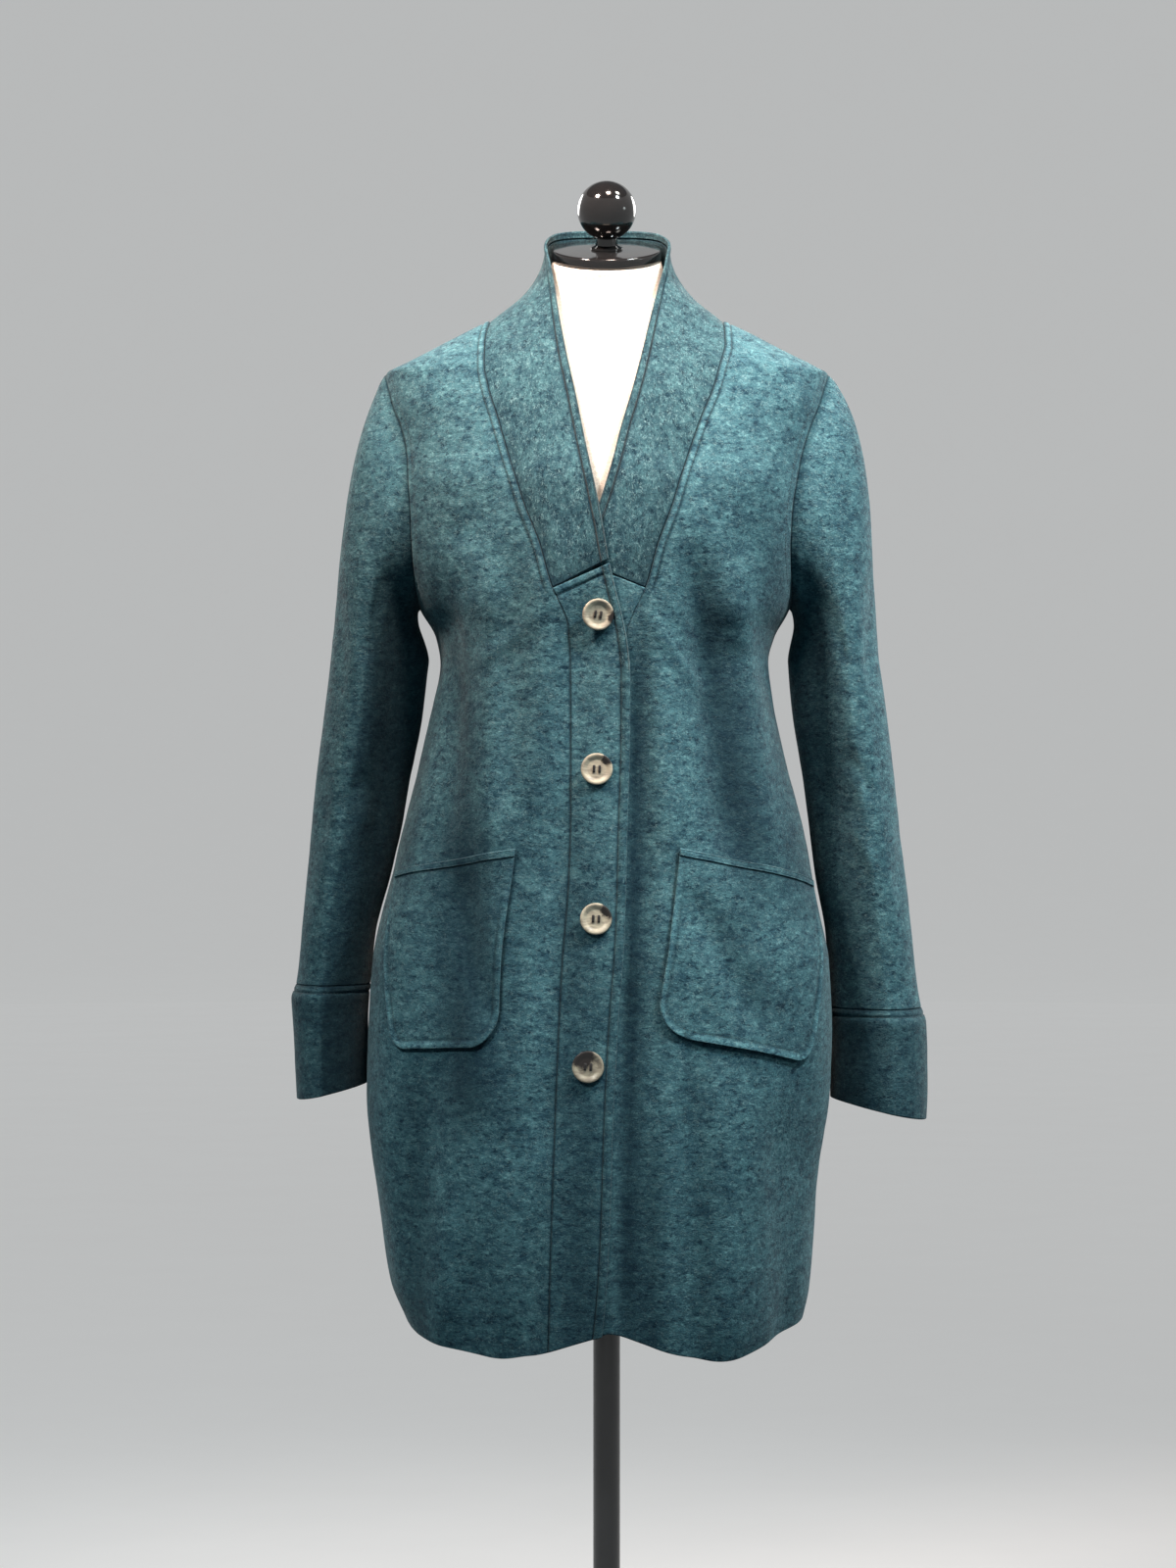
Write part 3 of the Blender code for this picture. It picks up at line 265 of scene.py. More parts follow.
# Hollows of the sleeve, by the angle round it: 0 is outside, 90 front, 180 inside, 270 back
SLEEVE_FOLDS = (
    ("angle", "spread", "depth", "low", "high"),
    (132, 26, -0.006, 0.84, 1.27),
    (55, 24, -0.002, 0.86, 1.16),
    (235, 26, -0.005, 0.86, 1.26),
    (305, 24, -0.002, 0.90, 1.18),
)

# Patch pockets: the angle and height of each corner
POCKETS = {
    "right": (
        ("corner", "angle", "z"),
        ("inner_top", -21.5, 0.930),
        ("outer_top", -70.0, 0.907),
        ("outer_low", -56.0, 0.750),
        ("inner_low", -22.5, 0.756),
    ),
    "left": (
        ("corner", "angle", "z"),
        ("inner_top", 17.5, 0.931),
        ("outer_top", 73.0, 0.899),
        ("outer_low", 57.5, 0.737),
        ("inner_low", 9.0, 0.768),
    ),
}
POCKET_INNER_CORNER = 0.030  # radius
POCKET_OUTER_CORNER = 0.018
POCKET_WIDTH = 0.150
POCKET_HEIGHT = 0.165
POCKET_BINDING = 0.007

BUTTONS = (
    ("x", "z"),
    (-0.0087, 1.1384),
    (-0.0095, 1.0010),
    (-0.0104, 0.8687),
    (-0.0173, 0.7391),
)

# The dress form's torso and neck
FORM = (
    ("z", "half", "front", "back"),
    (0.6600, 0.138, 0.092, 0.104),
    (0.6670, 0.152, 0.106, 0.116),
    (0.7000, 0.165, 0.116, 0.124),
    (0.7600, 0.172, 0.120, 0.128),
    (0.8400, 0.166, 0.117, 0.121),
    (0.9200, 0.146, 0.108, 0.104),
    (1.0000, 0.127, 0.102, 0.090),
    (1.0400, 0.122, 0.102, 0.087),
    (1.1000, 0.128, 0.114, 0.092),
    (1.1600, 0.142, 0.131, 0.102),
    (1.2100, 0.154, 0.139, 0.109),
    (1.2500, 0.165, 0.136, 0.112),
    (1.2900, 0.176, 0.124, 0.112),
    (1.3150, 0.182, 0.1145, 0.110),
    (1.3380, 0.186, 0.1045, 0.107),
    (1.3550, 0.187, 0.0955, 0.102),
    (1.3670, 0.1845, 0.0855, 0.099),
    (1.3725, 0.1810, 0.0820, 0.097),
    (1.3795, 0.1725, 0.0775, 0.094),
    (1.3890, 0.1530, 0.0710, 0.088),
    (1.4070, 0.1165, 0.0585, 0.080),
    (1.4165, 0.0950, 0.0520, 0.075),
    (1.4250, 0.0785, 0.0475, 0.070),
    (1.4400, 0.0630, 0.0435, 0.065),
    (1.4550, 0.0565, 0.0415, 0.0615),
    (1.4763, 0.0505, 0.0400, 0.0588),
)

SIGN = {"right": -1, "left": 1}


def column(table, name):
    """The values of one named column of a table."""
    place = table[0].index(name)
    return [row[place] for row in table[1:]]


def smooth(xs, ys):
    """A curve through the points (xs, ys) that doesn't overshoot between two of them."""
    xs, ys = np.array(xs, float), np.array(ys, float)
    step = np.diff(xs)
    slope = np.diff(ys) / step
    bend = np.concatenate([slope[:1], np.zeros(len(xs) - 2), slope[-1:]])
    for i in range(1, len(xs) - 1):
        if slope[i - 1] * slope[i] > 0:
            before, after = 2 * step[i] + step[i - 1], step[i] + 2 * step[i - 1]
            bend[i] = (before + after) / (before / slope[i - 1] + after / slope[i])

    def value(x):
        x = np.clip(x, xs[0], xs[-1])
        i = np.clip(np.searchsorted(xs, x, side="right") - 1, 0, len(step) - 1)
        t = (x - xs[i]) / step[i]
        level = ys[i] * (1 + 2 * t) * (1 - t) ** 2 + ys[i + 1] * t * t * (3 - 2 * t)
        return level + step[i] * t * (1 - t) * (bend[i] * (1 - t) - bend[i + 1] * t)

    return value


def curves(table, key):
    """One smooth curve for each column of the table, by the values of its key column."""
    return {
        name: smooth(column(table, key), column(table, name))
        for name in table[0]
        if name != key
    }


def hill(x, spread, top=0.0):
    """1 where x is top, and softly down to 0 on both sides of it."""
    return np.exp(-(((x - top) / spread) ** 2))


def degrees_from(angle, place):
    """How far an angle in radians is from a place in degrees: -180 to 180."""
    return (np.degrees(angle) - place + 180) % 360 - 180


def ramp(low, high, x):
    """0 below low, 1 above high, and a soft rise between."""
    t = np.clip((x - low) / (high - low), 0, 1)
    return t * t * (3 - 2 * t)


def unit(vectors):
    return vectors / np.linalg.norm(vectors, axis=-1, keepdims=True)


def normals(surface, a, b, step_a=1e-3, step_b=1e-3):
    """Normals of surface(a, b) from two small steps, pointing along the cross product b x a."""
    along_a = surface(a + step_a, b) - surface(a - step_a, b)
    along_b = surface(a, b + step_b) - surface(a, b - step_b)
    return unit(np.cross(along_a, along_b))


BODY_AT = curves(BODY, "z")
HEM_AT = smooth(column(HEM, "angle"), column(HEM, "z"))
SEAM_AT = curves(FRONT_SEAM, "z")
EDGE_AT = smooth(column(BAND_EDGE, "z"), column(BAND_EDGE, "x"))
COLLAR_AT = curves(COLLAR, "run")
SLEEVE_AT = {side: curves(table, "z") for side, table in SLEEVE.items()}
FORM_AT = curves(FORM, "z")


def skirt_folds(angle, z):
    """How far the folds stand out at an angle, in radians, and a height."""
    out = 0
    for at, spread, depth, top in FOLDS[1:]:
        fold = depth * hill(degrees_from(angle, at), spread)
        out = out + fold * (1 - ramp(FOLDS_FROM_Z, top, z))
    return out


def superellipse(angle, half, front, back):
    """A flattened ring: x and y for an angle from the front."""
    power = 2 / ROUNDNESS
    across, along = np.sin(angle), np.cos(angle)
    x = half * np.sign(across) * np.abs(across) ** power
    y = -np.where(along > 0, front, back) * np.sign(along) * np.abs(along) ** power
    return x, y


def body(angle, z):
    """The body's reference surface."""
    half = np.where(np.sin(angle) < 0, BODY_AT["right"](z), BODY_AT["left"](z))
    x, y = superellipse(angle, half, BODY_AT["front"](z), BODY_AT["back"](z))
    swell = 1 + skirt_folds(angle, z) / np.hypot(x, y)
    return np.stack([x * swell, y * swell, z + 0 * x], axis=-1)


def body_normals(angle, z):
    return normals(body, angle, z)


def front_angle(x, z):
    """The angle on the front at which the body is x from the middle."""
    half = np.where(x < 0, BODY_AT["right"](z), BODY_AT["left"](z))
    share = np.clip(np.abs(x) / half, 0, 1)
    return np.sign(x) * np.arcsin(share ** (ROUNDNESS / 2))


def lap(x, z):
    """How far the wearer's right front is raised where it goes over the left one."""
    return LAP * ramp(LAP_FROM_X, LAP_FULL_X, x) * (1 - ramp(LAP_FULL_Z, LAP_TOP_Z, z))


def armhole_angle(turn, face):
    """The angle on the body of a point of the armhole; turn is 0 at the shoulder, pi below."""
    half_depth = ARMHOLE_HALF_DEPTH * np.sin(turn) * (1 - ARMHOLE_EGG * np.cos(turn))
    depth = BODY_AT[face](armhole_z(turn))
    angle = np.arccos(np.clip(half_depth / depth, 0, 1) ** (ROUNDNESS / 2))
    return angle if face == "front" else pi - angle


def armhole_z(turn):
    return ARMHOLE_MIDDLE_Z + ARMHOLE_HALF_HEIGHT * np.cos(turn)


def armhole_turn(z):
    return np.arccos(np.clip((z - ARMHOLE_MIDDLE_Z) / ARMHOLE_HALF_HEIGHT, -1, 1))


def armhole(side, turn):
    """The armhole's loop: turn is 0 at the shoulder, 90 degrees in front, 180 at the armpit."""
    turn = turn % (2 * pi)
    ahead = turn <= pi
    up = np.where(ahead, turn, 2 * pi - turn)
    angle = np.where(ahead, armhole_angle(up, "front"), armhole_angle(up, "back"))
    return SIGN[side] * angle, armhole_z(up)


def tube(side, turn, z):
    """The sleeve below its cap, and the cuff."""
    at = SLEEVE_AT[side]
    outer, inner = at["outer"](z), at["inner"](z)
    half, middle = (outer - inner) / 2, (outer + inner) / 2
    across = np.sign(np.cos(turn)) * np.abs(np.cos(turn)) ** LENS
    ridge = RIDGE_SHIFT * half * np.sin(turn) ** 2
    x = middle + half * across + ridge
    y = at["y"](z) - at["half_depth"](z) * np.sin(turn)
    return np.stack([SIGN[side] * x, y, z + 0 * x], axis=-1)


def cap(side, turn, way):
    """The sleeve from the armhole, way 0, to the bicep, way 1, by one curve for each turn."""
    start = body(*armhole(side, turn))
    end = tube(side, turn, BICEP_Z + 0 * turn)
    reach = np.linalg.norm(end - start, axis=-1, keepdims=True)
    under = np.abs((turn + pi) % (2 * pi) - pi)
    out = CAP_OUT_TOP[side] + (CAP_OUT_MIDDLE - CAP_OUT_TOP[side]) * ramp(0, CAP_TOP_TURN, under)
    out = out - (CAP_OUT_MIDDLE - CAP_OUT_UNDER) * ramp(CAP_UNDER_TURN, pi, under)
    leave = np.stack([SIGN[side] * out, 0 * out, -np.sqrt(1 - out**2)], axis=-1)
    arrive = np.array([SIGN[side] * CAP_LEAN, 0.0, -1.0])
    way = np.asarray(way)[..., None]
    return (
        start * (1 + 2 * way) * (1 - way) ** 2
        + end * way**2 * (3 - 2 * way)
        + leave * reach * CAP_START_PULL * way * (1 - way) ** 2
        - arrive * reach * CAP_END_PULL * way**2 * (1 - way)
    )


def sleeve(side, turn, run):
    """The whole sleeve: run goes 0 to 1 over the cap, then to 2 at the cuff's seam."""
    fall = BICEP_Z - CUFF_SEAM_Z[side]
    z = BICEP_Z - fall * np.clip(run - 1, 0, 2)
    above = cap(side, turn, np.clip(run, 0, 1))
    below = tube(side, turn, z)
    points = np.where((run <= 1)[..., None], above, below)
    z = points[..., 2]
    middle = tube(side, turn, np.clip(z, 0, BICEP_Z)).mean(axis=-2, keepdims=True)
    outward = unit((points - middle) * (1, 1, 0))
    hollow = 0
    for at, spread, depth, low, high in SLEEVE_FOLDS[1:]:
        here = ramp(low, low + SLEEVE_FOLD_FADE, z) * (1 - ramp(high - SLEEVE_FOLD_FADE, high, z))
        hollow = hollow + depth * hill(degrees_from(turn, at), spread) * here * ramp(0, 0.5, run)
    return points + outward * hollow[..., None]


def sleeve_normals(side, turn, run):
    """Outward normals of the sleeve, level where it meets the cuff."""
    found = normals(lambda a, b: sleeve(side, a, b), turn, run, 1e-2, 1e-3)
    return found * SIGN[side]


def cuff(side, turn, down):
    """The cuff: down goes 0 at its seam to 1 at its hem, which slants."""
    z = CUFF_SEAM_Z[side] + (CUFF_HEM_Z[side] - CUFF_SEAM_Z[side]) * down
    points = tube(side, turn, z)
    middle = points[..., 0].mean(axis=-1, keepdims=True)
    points[..., 2] -= CUFF_SLANT * down * SIGN[side] * (points[..., 0] - middle)
    return points


def ring_normals(points):
    """Level normals of rings of points, one ring in each row."""
    along = np.roll(points, -1, axis=1) - np.roll(points, 1, axis=1)
    level = unit(np.cross(along, (0.0, 0.0, 1.0)))
    middle = points.mean(axis=1, keepdims=True)
    outside = ((points - middle) * level).sum(axis=-1, keepdims=True)
    return level * np.sign(outside)


SIDE_HEM_Z = HEM_AT(90.0)
FRONT_HEM_Z = HEM_AT(7.0)


def outer_edge(side, share, face):
    """The side seam and the armhole of one panel: its angle and height at each share."""
    z = SIDE_HEM_Z + (SHOULDER_TIP_Z - SIDE_HEM_Z) * share
    angle = np.full_like(z, pi / 2)
    above = z > ARMPIT_Z + 1e-6
    angle[above] = armhole_angle(armhole_turn(z[above]), face)
    return SIGN[side] * angle, z


def inner_edge(side, share):
    """The front panel's seam with its band and with the collar."""
    z = FRONT_HEM_Z + (SHOULDER_NECK_Z - FRONT_HEM_Z) * share
    angle = front_angle(SIGN[side] * SEAM_AT[side](z), z)
    angle[share >= 1] = SIGN[side] * pi / 2
    return angle, z


def front_places(side, shares, across):
    """Angles and heights of a front panel's grid, a row for each share of its height."""
    in_angle, in_z = inner_edge(side, shares)
    out_angle, out_z = outer_edge(side, shares, "front")
    in_x, out_x = body(in_angle, in_z)[:, 0], body(out_angle, out_z)[:, 0]
    u, chest = np.atleast_2d(across), ramp(CHEST_FROM_Z, CHEST_FULL_Z, out_z)[:, None]
    z = in_z[:, None] * (1 - u) + out_z[:, None] * u
    level = in_angle[:, None] * (1 - u) + out_angle[:, None] * u
    straight = front_angle(in_x[:, None] * (1 - u) + out_x[:, None] * u, z)
    angle = level * (1 - chest) + straight * chest
    angle[shares >= 1] = SIGN[side] * pi / 2
    angle[:, 0], angle[:, -1] = in_angle, out_angle
    hem = HEM_AT(np.abs(np.degrees(angle[:1]))) - z[:1]
    return angle, z + hem * (1 - ramp(0, HEM_REACH, shares))[:, None]


def back_places(shares, across):
    """Angles and heights of the back panel's grid: across goes from -1 to 1, right to left."""
    out_angle, out_z = outer_edge("left", shares, "back")
    across = np.atleast_2d(across)
    width = np.abs(across)
    top = np.where(
        width <= SHOULDER_NECK_X / SHOULDER_TIP_X,
        back_neck_z(width * SHOULDER_TIP_X),
        np.interp(
            width * SHOULDER_TIP_X,
            (SHOULDER_NECK_X, SHOULDER_TIP_X),
            (SHOULDER_NECK_Z, SHOULDER_TIP_Z),
        ),
    )
    z = SIDE_HEM_Z + (top - SIDE_HEM_Z) * shares[:, None]
    chest = ramp(CHEST_FROM_Z, CHEST_FULL_Z, out_z)[:, None]
    level = pi - (pi - out_angle[:, None]) * width
    half = body(out_angle, out_z)[:, :1]
    spread = np.clip(half * width / BODY_AT["left"](z), 0, 1)
    straight = pi - np.arcsin(spread ** (ROUNDNESS / 2))
    angle = level * (1 - chest) + straight * chest
    shoulder = width[-1] >= SHOULDER_NECK_X / SHOULDER_TIP_X - 1e-9
    angle[-1, shoulder] = pi / 2
    angle[:, [0, -1]] = out_angle[:, None]
    hem = HEM_AT(np.degrees(angle[:1])) - z[:1]
    z = z + hem * (1 - ramp(0, HEM_REACH, shares))[:, None]
    return angle * np.where(across < 0, -1, 1), z


def back_neck_z(x):
    """Height of the back neckline's seam."""
    return BACK_NECK_Z - (BACK_NECK_Z - SHOULDER_NECK_Z) * (x / SHOULDER_NECK_X) ** 2


def back_neck_angle(x, z):
    spread = np.clip(x / BODY_AT["left"](z), 0, 1)
    return pi - np.arcsin(spread ** (ROUNDNESS / 2))


def sleeve_start_normals(side, turn):
    """Normals of the sleeve's cap just beyond the armhole."""
    way = np.full_like(turn, 0.02)
    found = normals(lambda a, b: cap(side, a, b), turn, way, 1e-2, 1e-2)
    return found * SIGN[side]


def neckline(side, steps=240):
    """The collar's seam from the centre back to the band: places on the body, and their run."""
    x = np.linspace(0, SHOULDER_NECK_X, steps // 3)[:-1]
    z = back_neck_z(x)
    behind = np.stack([SIGN[side] * back_neck_angle(x, z), z], axis=-1)
    drop = 1 - np.cos(np.linspace(0, pi / 2, steps))
    z = SHOULDER_NECK_Z - (SHOULDER_NECK_Z - BAND_TOP_SEAM_Z) * drop
    angle = front_angle(SIGN[side] * SEAM_AT[side](z), z)
    angle[0] = SIGN[side] * pi / 2
    places = np.concatenate([behind, np.stack([angle, z], axis=-1)])
    points = body(places[:, 0], places[:, 1])
    run = np.concatenate([[0], np.cumsum(np.linalg.norm(np.diff(points, axis=0), axis=-1))])
    return run, points


def collar(side, run, across):
    """The collar's outer face: across goes from its seam, 0, to its free edge, 1."""
    along, points = neckline(side)
    seam = np.stack([np.interp(run, along, points[:, i]) for i in range(3)], axis=-1)
    at = COLLAR_AT
    edge = np.stack([SIGN[side] * at[side](run), at["y"](run), at["z"](run)], axis=-1)
    middle = (seam + edge) / 2
    inward = unit((0, NECK_CENTRE_Y, 0) - middle * (1, 1, 0))
    middle = middle + 2 * at["drawn"](run)[..., None] * inward
    w = across[..., None]
    free = seam * (1 - w) ** 2 + middle * 2 * w * (1 - w) + edge * w**2
    x, z = free[..., 0], free[..., 2]
    on_chest = body(front_angle(x, z), z)[..., 1]
    lies = at["lies"](run)
    free[..., 1] = free[..., 1] * (1 - lies) + on_chest * lies
    return free


def collar_normals(side, run, across):
    found = normals(lambda a, b: collar(side, a, b), run, across, 2e-3, 2e-2)
    return found * -SIGN[side]


def pocket_places(side, u, v):
    """Places of a pocket: u goes from its inner to its outer edge, v from its foot to its top."""
    corner = {row[0]: row[1:] for row in POCKETS[side][1:]}
    a = {name: radians(place[0]) for name, place in corner.items()}
    z = {name: place[1] for name, place in corner.items()}
    height = (z["inner_top"] - z["inner_low"]) * v

    def inset(corner):
        return (corner - np.sqrt(corner**2 - np.clip(corner - height, 0, corner) ** 2)) / POCKET_WIDTH

    inner = a["inner_low"] * (1 - v) + a["inner_top"] * v
    outer = a["outer_low"] * (1 - v) + a["outer_top"] * v
    start, end = inset(POCKET_INNER_CORNER), 1 - inset(POCKET_OUTER_CORNER)
    u = start + u * (end - start)
    low = z["inner_low"] * (1 - u) + z["outer_low"] * u
    top = z["inner_top"] * (1 - u) + z["outer_top"] * u
    return inner * (1 - u) + outer * u, low * (1 - v) + top * v


# The scene's own sizes
CELL = 0.0042  # between the cloth's points, away from its edges
BAND_CELL = 0.0030
CUFF_CELL = 0.0040
POCKET_CELL = 0.0022
EDGE_STEPS = (0, 0.0016, 0.0034, 0.0052, 0.0061, 0.0069, 0.0078, 0.0090, 0.0116, 0.0155, 0.0200)
STITCH_STEP = EDGE_STEPS.index(0.0069)  # the topstitching's place among the steps
STITCH_LINE = EDGE_STEPS[STITCH_STEP]
PANEL_LENGTH = 0.90  # these two set the number of rows
STRIP_LENGTH = 0.68
ROUGH_STEPS = 30  # of the grids that only measure how wide a piece is
SLEEVE_COLUMNS = 84
FOLD_COLUMNS = 9
RIM_BACK = 0.0011  # how far a cloth's rounded edge is drawn back
RIM_TURNS = (45, 90, 135)

GROOVE_DEPTH = 0.0009
GROOVE_SPREAD = 0.0010
SEAM_PUFF = 0.0005  # how far the cloth swells between a seam and its topstitching
ARMHOLE_STITCH = 0.6  # its topstitching is softer than the collar's by this share
SLEEVE_PUFF = 0.0006  # how far the sleeve swells beside the armhole
COLLAR_SINK = 0.0010
FOLD_PUFF = 0.0012  # how far a folded edge stands proud
POCKET_FOLD_PUFF = 0.0005
POCKET_RIM = 0.0014
POCKET_RIM_SPREAD = 0.0055
POCKET_SAG = 0.0020  # how far the pocket's mouth stands off the front
LUMP = 0.0007
LUMP_SIZE = 0.060
SOFT = 0.00022
SOFT_SIZE = 0.014
STITCH_PITCH = 0.0034
STITCH_LENGTH = 0.0027
STITCH_RADIUS = 0.00032
STITCH_SIDES = 6

# One stitch from end to end: share of its length, how wide and how high, in radii
STITCH_RINGS = (
    (0.0, 0.45, -0.9),
    (0.18, 0.9, -0.1),
    (0.5, 1.0, 0.35),
    (0.82, 0.9, -0.1),
    (1.0, 0.45, -0.9),
)

# Tones multiply the wool's colour: these say how dark or light it gets
SEAM_DARK = 0.60
SEAM_DARK_SPREAD = 0.0014
STITCH_DARK = 0.52
STITCH_DARK_SPREAD = 0.0011
STRIP_LIGHT = 0.12
# The cuffs are painted darker, the left one more: painted shade
CUFF_PAINTED_SHADE = {"right": 0.72, "left": 0.60}
# The pocket's binding is painted lighter: a painted highlight on its raised fold
POCKET_PAINTED_LIGHT = 1.18

# Shade on the side of a sleeve that lies against the body: from and to how far it faces in, how dark
UNDER_ARM = {"right": (-0.95, 0.55, 0.70), "left": (-0.05, 0.75, 0.40)}

# Creases of the body's cloth, as soft ridges and troughs from one place to another; bow is how far
# the middle of one swings to the right of its way
CREASES = (
    ("face", "x", "z", "to_x", "to_z", "bow", "spread", "height"),
    ("under", 0.030, 1.175, 0.024, 0.800, -0.003, 0.011, -0.0048),
    ("under", 0.022, 0.900, 0.013, 0.420, 0.000, 0.012, -0.0060),
    ("front", -0.050, 1.230, -0.072, 0.940, 0.000, 0.017, 0.0060),
    ("front", -0.068, 1.020, -0.124, 0.680, 0.004, 0.020, 0.0065),
    ("front", -0.105, 0.790, -0.168, 0.430, 0.000, 0.024, 0.0060),
    ("front", -0.018, 1.190, -0.042, 0.880, 0.000, 0.014, -0.0045),
    ("front", -0.038, 0.980, -0.056, 0.640, 0.000, 0.015, -0.0060),
    ("front", -0.050, 0.740, -0.084, 0.420, 0.000, 0.018, -0.0060),
    ("front", 0.014, 1.000, -0.012, 0.420, 0.000, 0.015, 0.0040),
    ("front", 0.026, 1.170, 0.056, 0.900, -0.004, 0.017, 0.0055),
    ("front", 0.052, 0.980, 0.048, 0.420, 0.000, 0.018, 0.0065),
    ("front", 0.072, 1.230, 0.118, 0.880, 0.000, 0.017, -0.0100),
    ("front", 0.116, 1.190, 0.150, 0.880, 0.004, 0.015, 0.0062),
    ("front", -0.110, 1.210, -0.110, 0.880, -0.010, 0.016, 0.0060),
    ("front", -0.152, 1.190, -0.154, 0.900, -0.010, 0.015, -0.0080),
    ("front", -0.162, 0.760, -0.172, 0.450, 0.000, 0.016, -0.0045),
    ("front", -0.134, 0.640, -0.150, 0.470, 0.000, 0.008, 0.0022),
    ("front", 0.098, 0.760, 0.110, 0.430, 0.000, 0.020, 0.0045),
    ("front", 0.074, 0.760, 0.080, 0.430, 0.000, 0.012, -0.0035),
    ("front", 0.150, 0.720, 0.164, 0.440, 0.000, 0.014, -0.0035),
    ("both", -0.165, 1.020, -0.206, 0.600, 0.000, 0.024, 0.0062),
    ("both", 0.162, 1.020, 0.202, 0.600, 0.000, 0.024, 0.0062),
    ("front", 0.064, 0.905, 0.142, 0.760, 0.000, 0.014, -0.0042),
    ("front", -0.132, 0.925, -0.100, 0.760, 0.000, 0.014, -0.0042),
    ("front", 0.030, 1.150, 0.100, 1.058, 0.004, 0.007, 0.0020),
    ("front", -0.050, 1.150, -0.125, 1.090, -0.004, 0.008, 0.0018),
    ("front", 0.058, 1.310, 0.140, 1.180, 0.006, 0.022, -0.0022),
    ("front", -0.070, 1.300, -0.145, 1.190, -0.006, 0.020, -0.0022),
    ("back", -0.040, 1.230, -0.052, 0.900, 0.004, 0.020, 0.0050),
    ("back", 0.045, 1.210, 0.060, 0.880, -0.004, 0.020, 0.0048),
    ("back", -0.130, 1.200, -0.112, 0.930, 0.008, 0.018, -0.0050),
    ("back", 0.126, 1.210, 0.110, 0.910, -0.008, 0.018, -0.0052),
    ("back", -0.100, 1.115, 0.020, 1.090, 0.006, 0.010, -0.0024),
    ("back", -0.030, 1.060, 0.110, 1.085, -0.006, 0.011, -0.0024),
    ("back", -0.090, 1.030, 0.050, 1.045, 0.005, 0.010, 0.0020),
    ("back", 0.010, 0.900, 0.004, 0.440, 0.000, 0.022, 0.0050),
    ("back", -0.080, 0.860, -0.098, 0.440, 0.000, 0.022, -0.0055),
    ("back", 0.084, 0.870, 0.100, 0.440, 0.000, 0.022, -0.0055),
    ("back", -0.140, 0.800, -0.156, 0.450, 0.000, 0.020, 0.0045),
    ("back", 0.142, 0.790, 0.156, 0.450, 0.000, 0.020, 0.0045),
)

# Painted shade beside the creases, where shade falls in their hollows, and painted light where a
# row goes below zero: the last column is how dark, or below zero how light
PAINTED_SHADE_AND_LIGHT = (
    ("face", "x", "z", "to_x", "to_z", "bow", "spread", "depth"),
    ("front", 0.084, 1.215, 0.132, 0.850, 0.000, 0.023, 0.72),
    ("front", -0.130, 1.225, -0.116, 1.140, 0.000, 0.026, -0.34),
    ("front", 0.148, 1.280, 0.172, 0.800, 0.000, 0.018, 0.46),
    ("front", -0.146, 1.135, -0.142, 0.880, -0.016, 0.020, 0.56),
    ("front", -0.170, 1.200, -0.176, 0.860, 0.000, 0.010, 0.30),
    ("front", -0.132, 1.000, -0.116, 0.640, 0.000, 0.036, 0.72),
    ("front", -0.050, 1.130, -0.082, 0.800, 0.000, 0.014, 0.22),
    ("front", -0.022, 1.020, -0.034, 0.380, 0.000, 0.022, 0.46),
    ("front", 0.076, 0.800, 0.084, 0.400, 0.000, 0.014, 0.22),
    ("front", -0.172, 0.780, -0.170, 0.400, 0.000, 0.018, 0.40),
    ("front", 0.096, 0.890, 0.150, 0.760, 0.000, 0.020, 0.34),
    ("front", -0.016, 0.760, -0.024, 0.380, 0.000, 0.015, 0.34),
    ("front", 0.112, 1.100, 0.130, 0.900, 0.000, 0.020, 0.30),
    ("under", 0.040, 0.720, 0.034, 0.380, 0.000, 0.013, 0.46),
    ("under", 0.031, 1.230, 0.014, 0.340, 0.000, 0.011, 0.78),
)

# Creases of the sleeves, by the angle round the sleeve
SLEEVE_CREASES = (
    ("side", "turn", "z", "to_turn", "to_z", "bow", "spread", "height"),
    ("right", 70, 1.270, 62, 0.820, 0.000, 0.012, 0.0020),
    ("right", 30, 1.180, 58, 1.060, 0.003, 0.012, -0.0022),
    ("right", 118, 1.190, 82, 1.090, 0.003, 0.010, -0.0024),
    ("right", 120, 1.000, 70, 0.955, 0.003, 0.009, -0.0020),
    ("right", 128, 0.970, 84, 0.915, 0.003, 0.010, 0.0018),
    ("right", 20, 1.000, 60, 0.930, -0.003, 0.012, -0.0016),
    ("right", 285, 1.180, 250, 1.080, 0.003, 0.012, -0.0024),
    ("right", 290, 1.010, 240, 0.960, 0.003, 0.012, -0.0024),
    ("left", 68, 1.260, 64, 0.800, 0.000, 0.012, 0.0020),
    ("left", 24, 1.200, 56, 1.070, 0.004, 0.013, -0.0024),
    ("left", 122, 1.170, 84, 1.080, 0.003, 0.010, -0.0024),
    ("left", 116, 1.020, 66, 0.970, 0.003, 0.010, -0.0022),
    ("left", 126, 0.960, 80, 0.900, 0.003, 0.010, 0.0018),
    ("left", 10, 0.960, 52, 0.880, 0.003, 0.013, -0.0018),
    ("left", 282, 1.190, 246, 1.090, 0.003, 0.012, -0.0024),
    ("left", 286, 1.000, 238, 0.940, 0.003, 0.012, -0.0024),
)
SLEEVE_RADIUS = 0.052  # turns an angle round the sleeve into a length

# Holes of a button, and the bars of thread through them
HOLE_X = 0.00250
HOLE_Y = 0.00230
HOLE_RADIUS = 0.0009
HOLE_DEPTH = 0.0014
BUTTON_SIDES = 112
DISH_RINGS = 34
BAR_RADIUS = 0.00068
BAR_APART = 0.00050
BAR_REACH = 0.0012
BAR_RISE = 0.00075
BAR_DIP = 0.0009
BAR_SIDES = 8

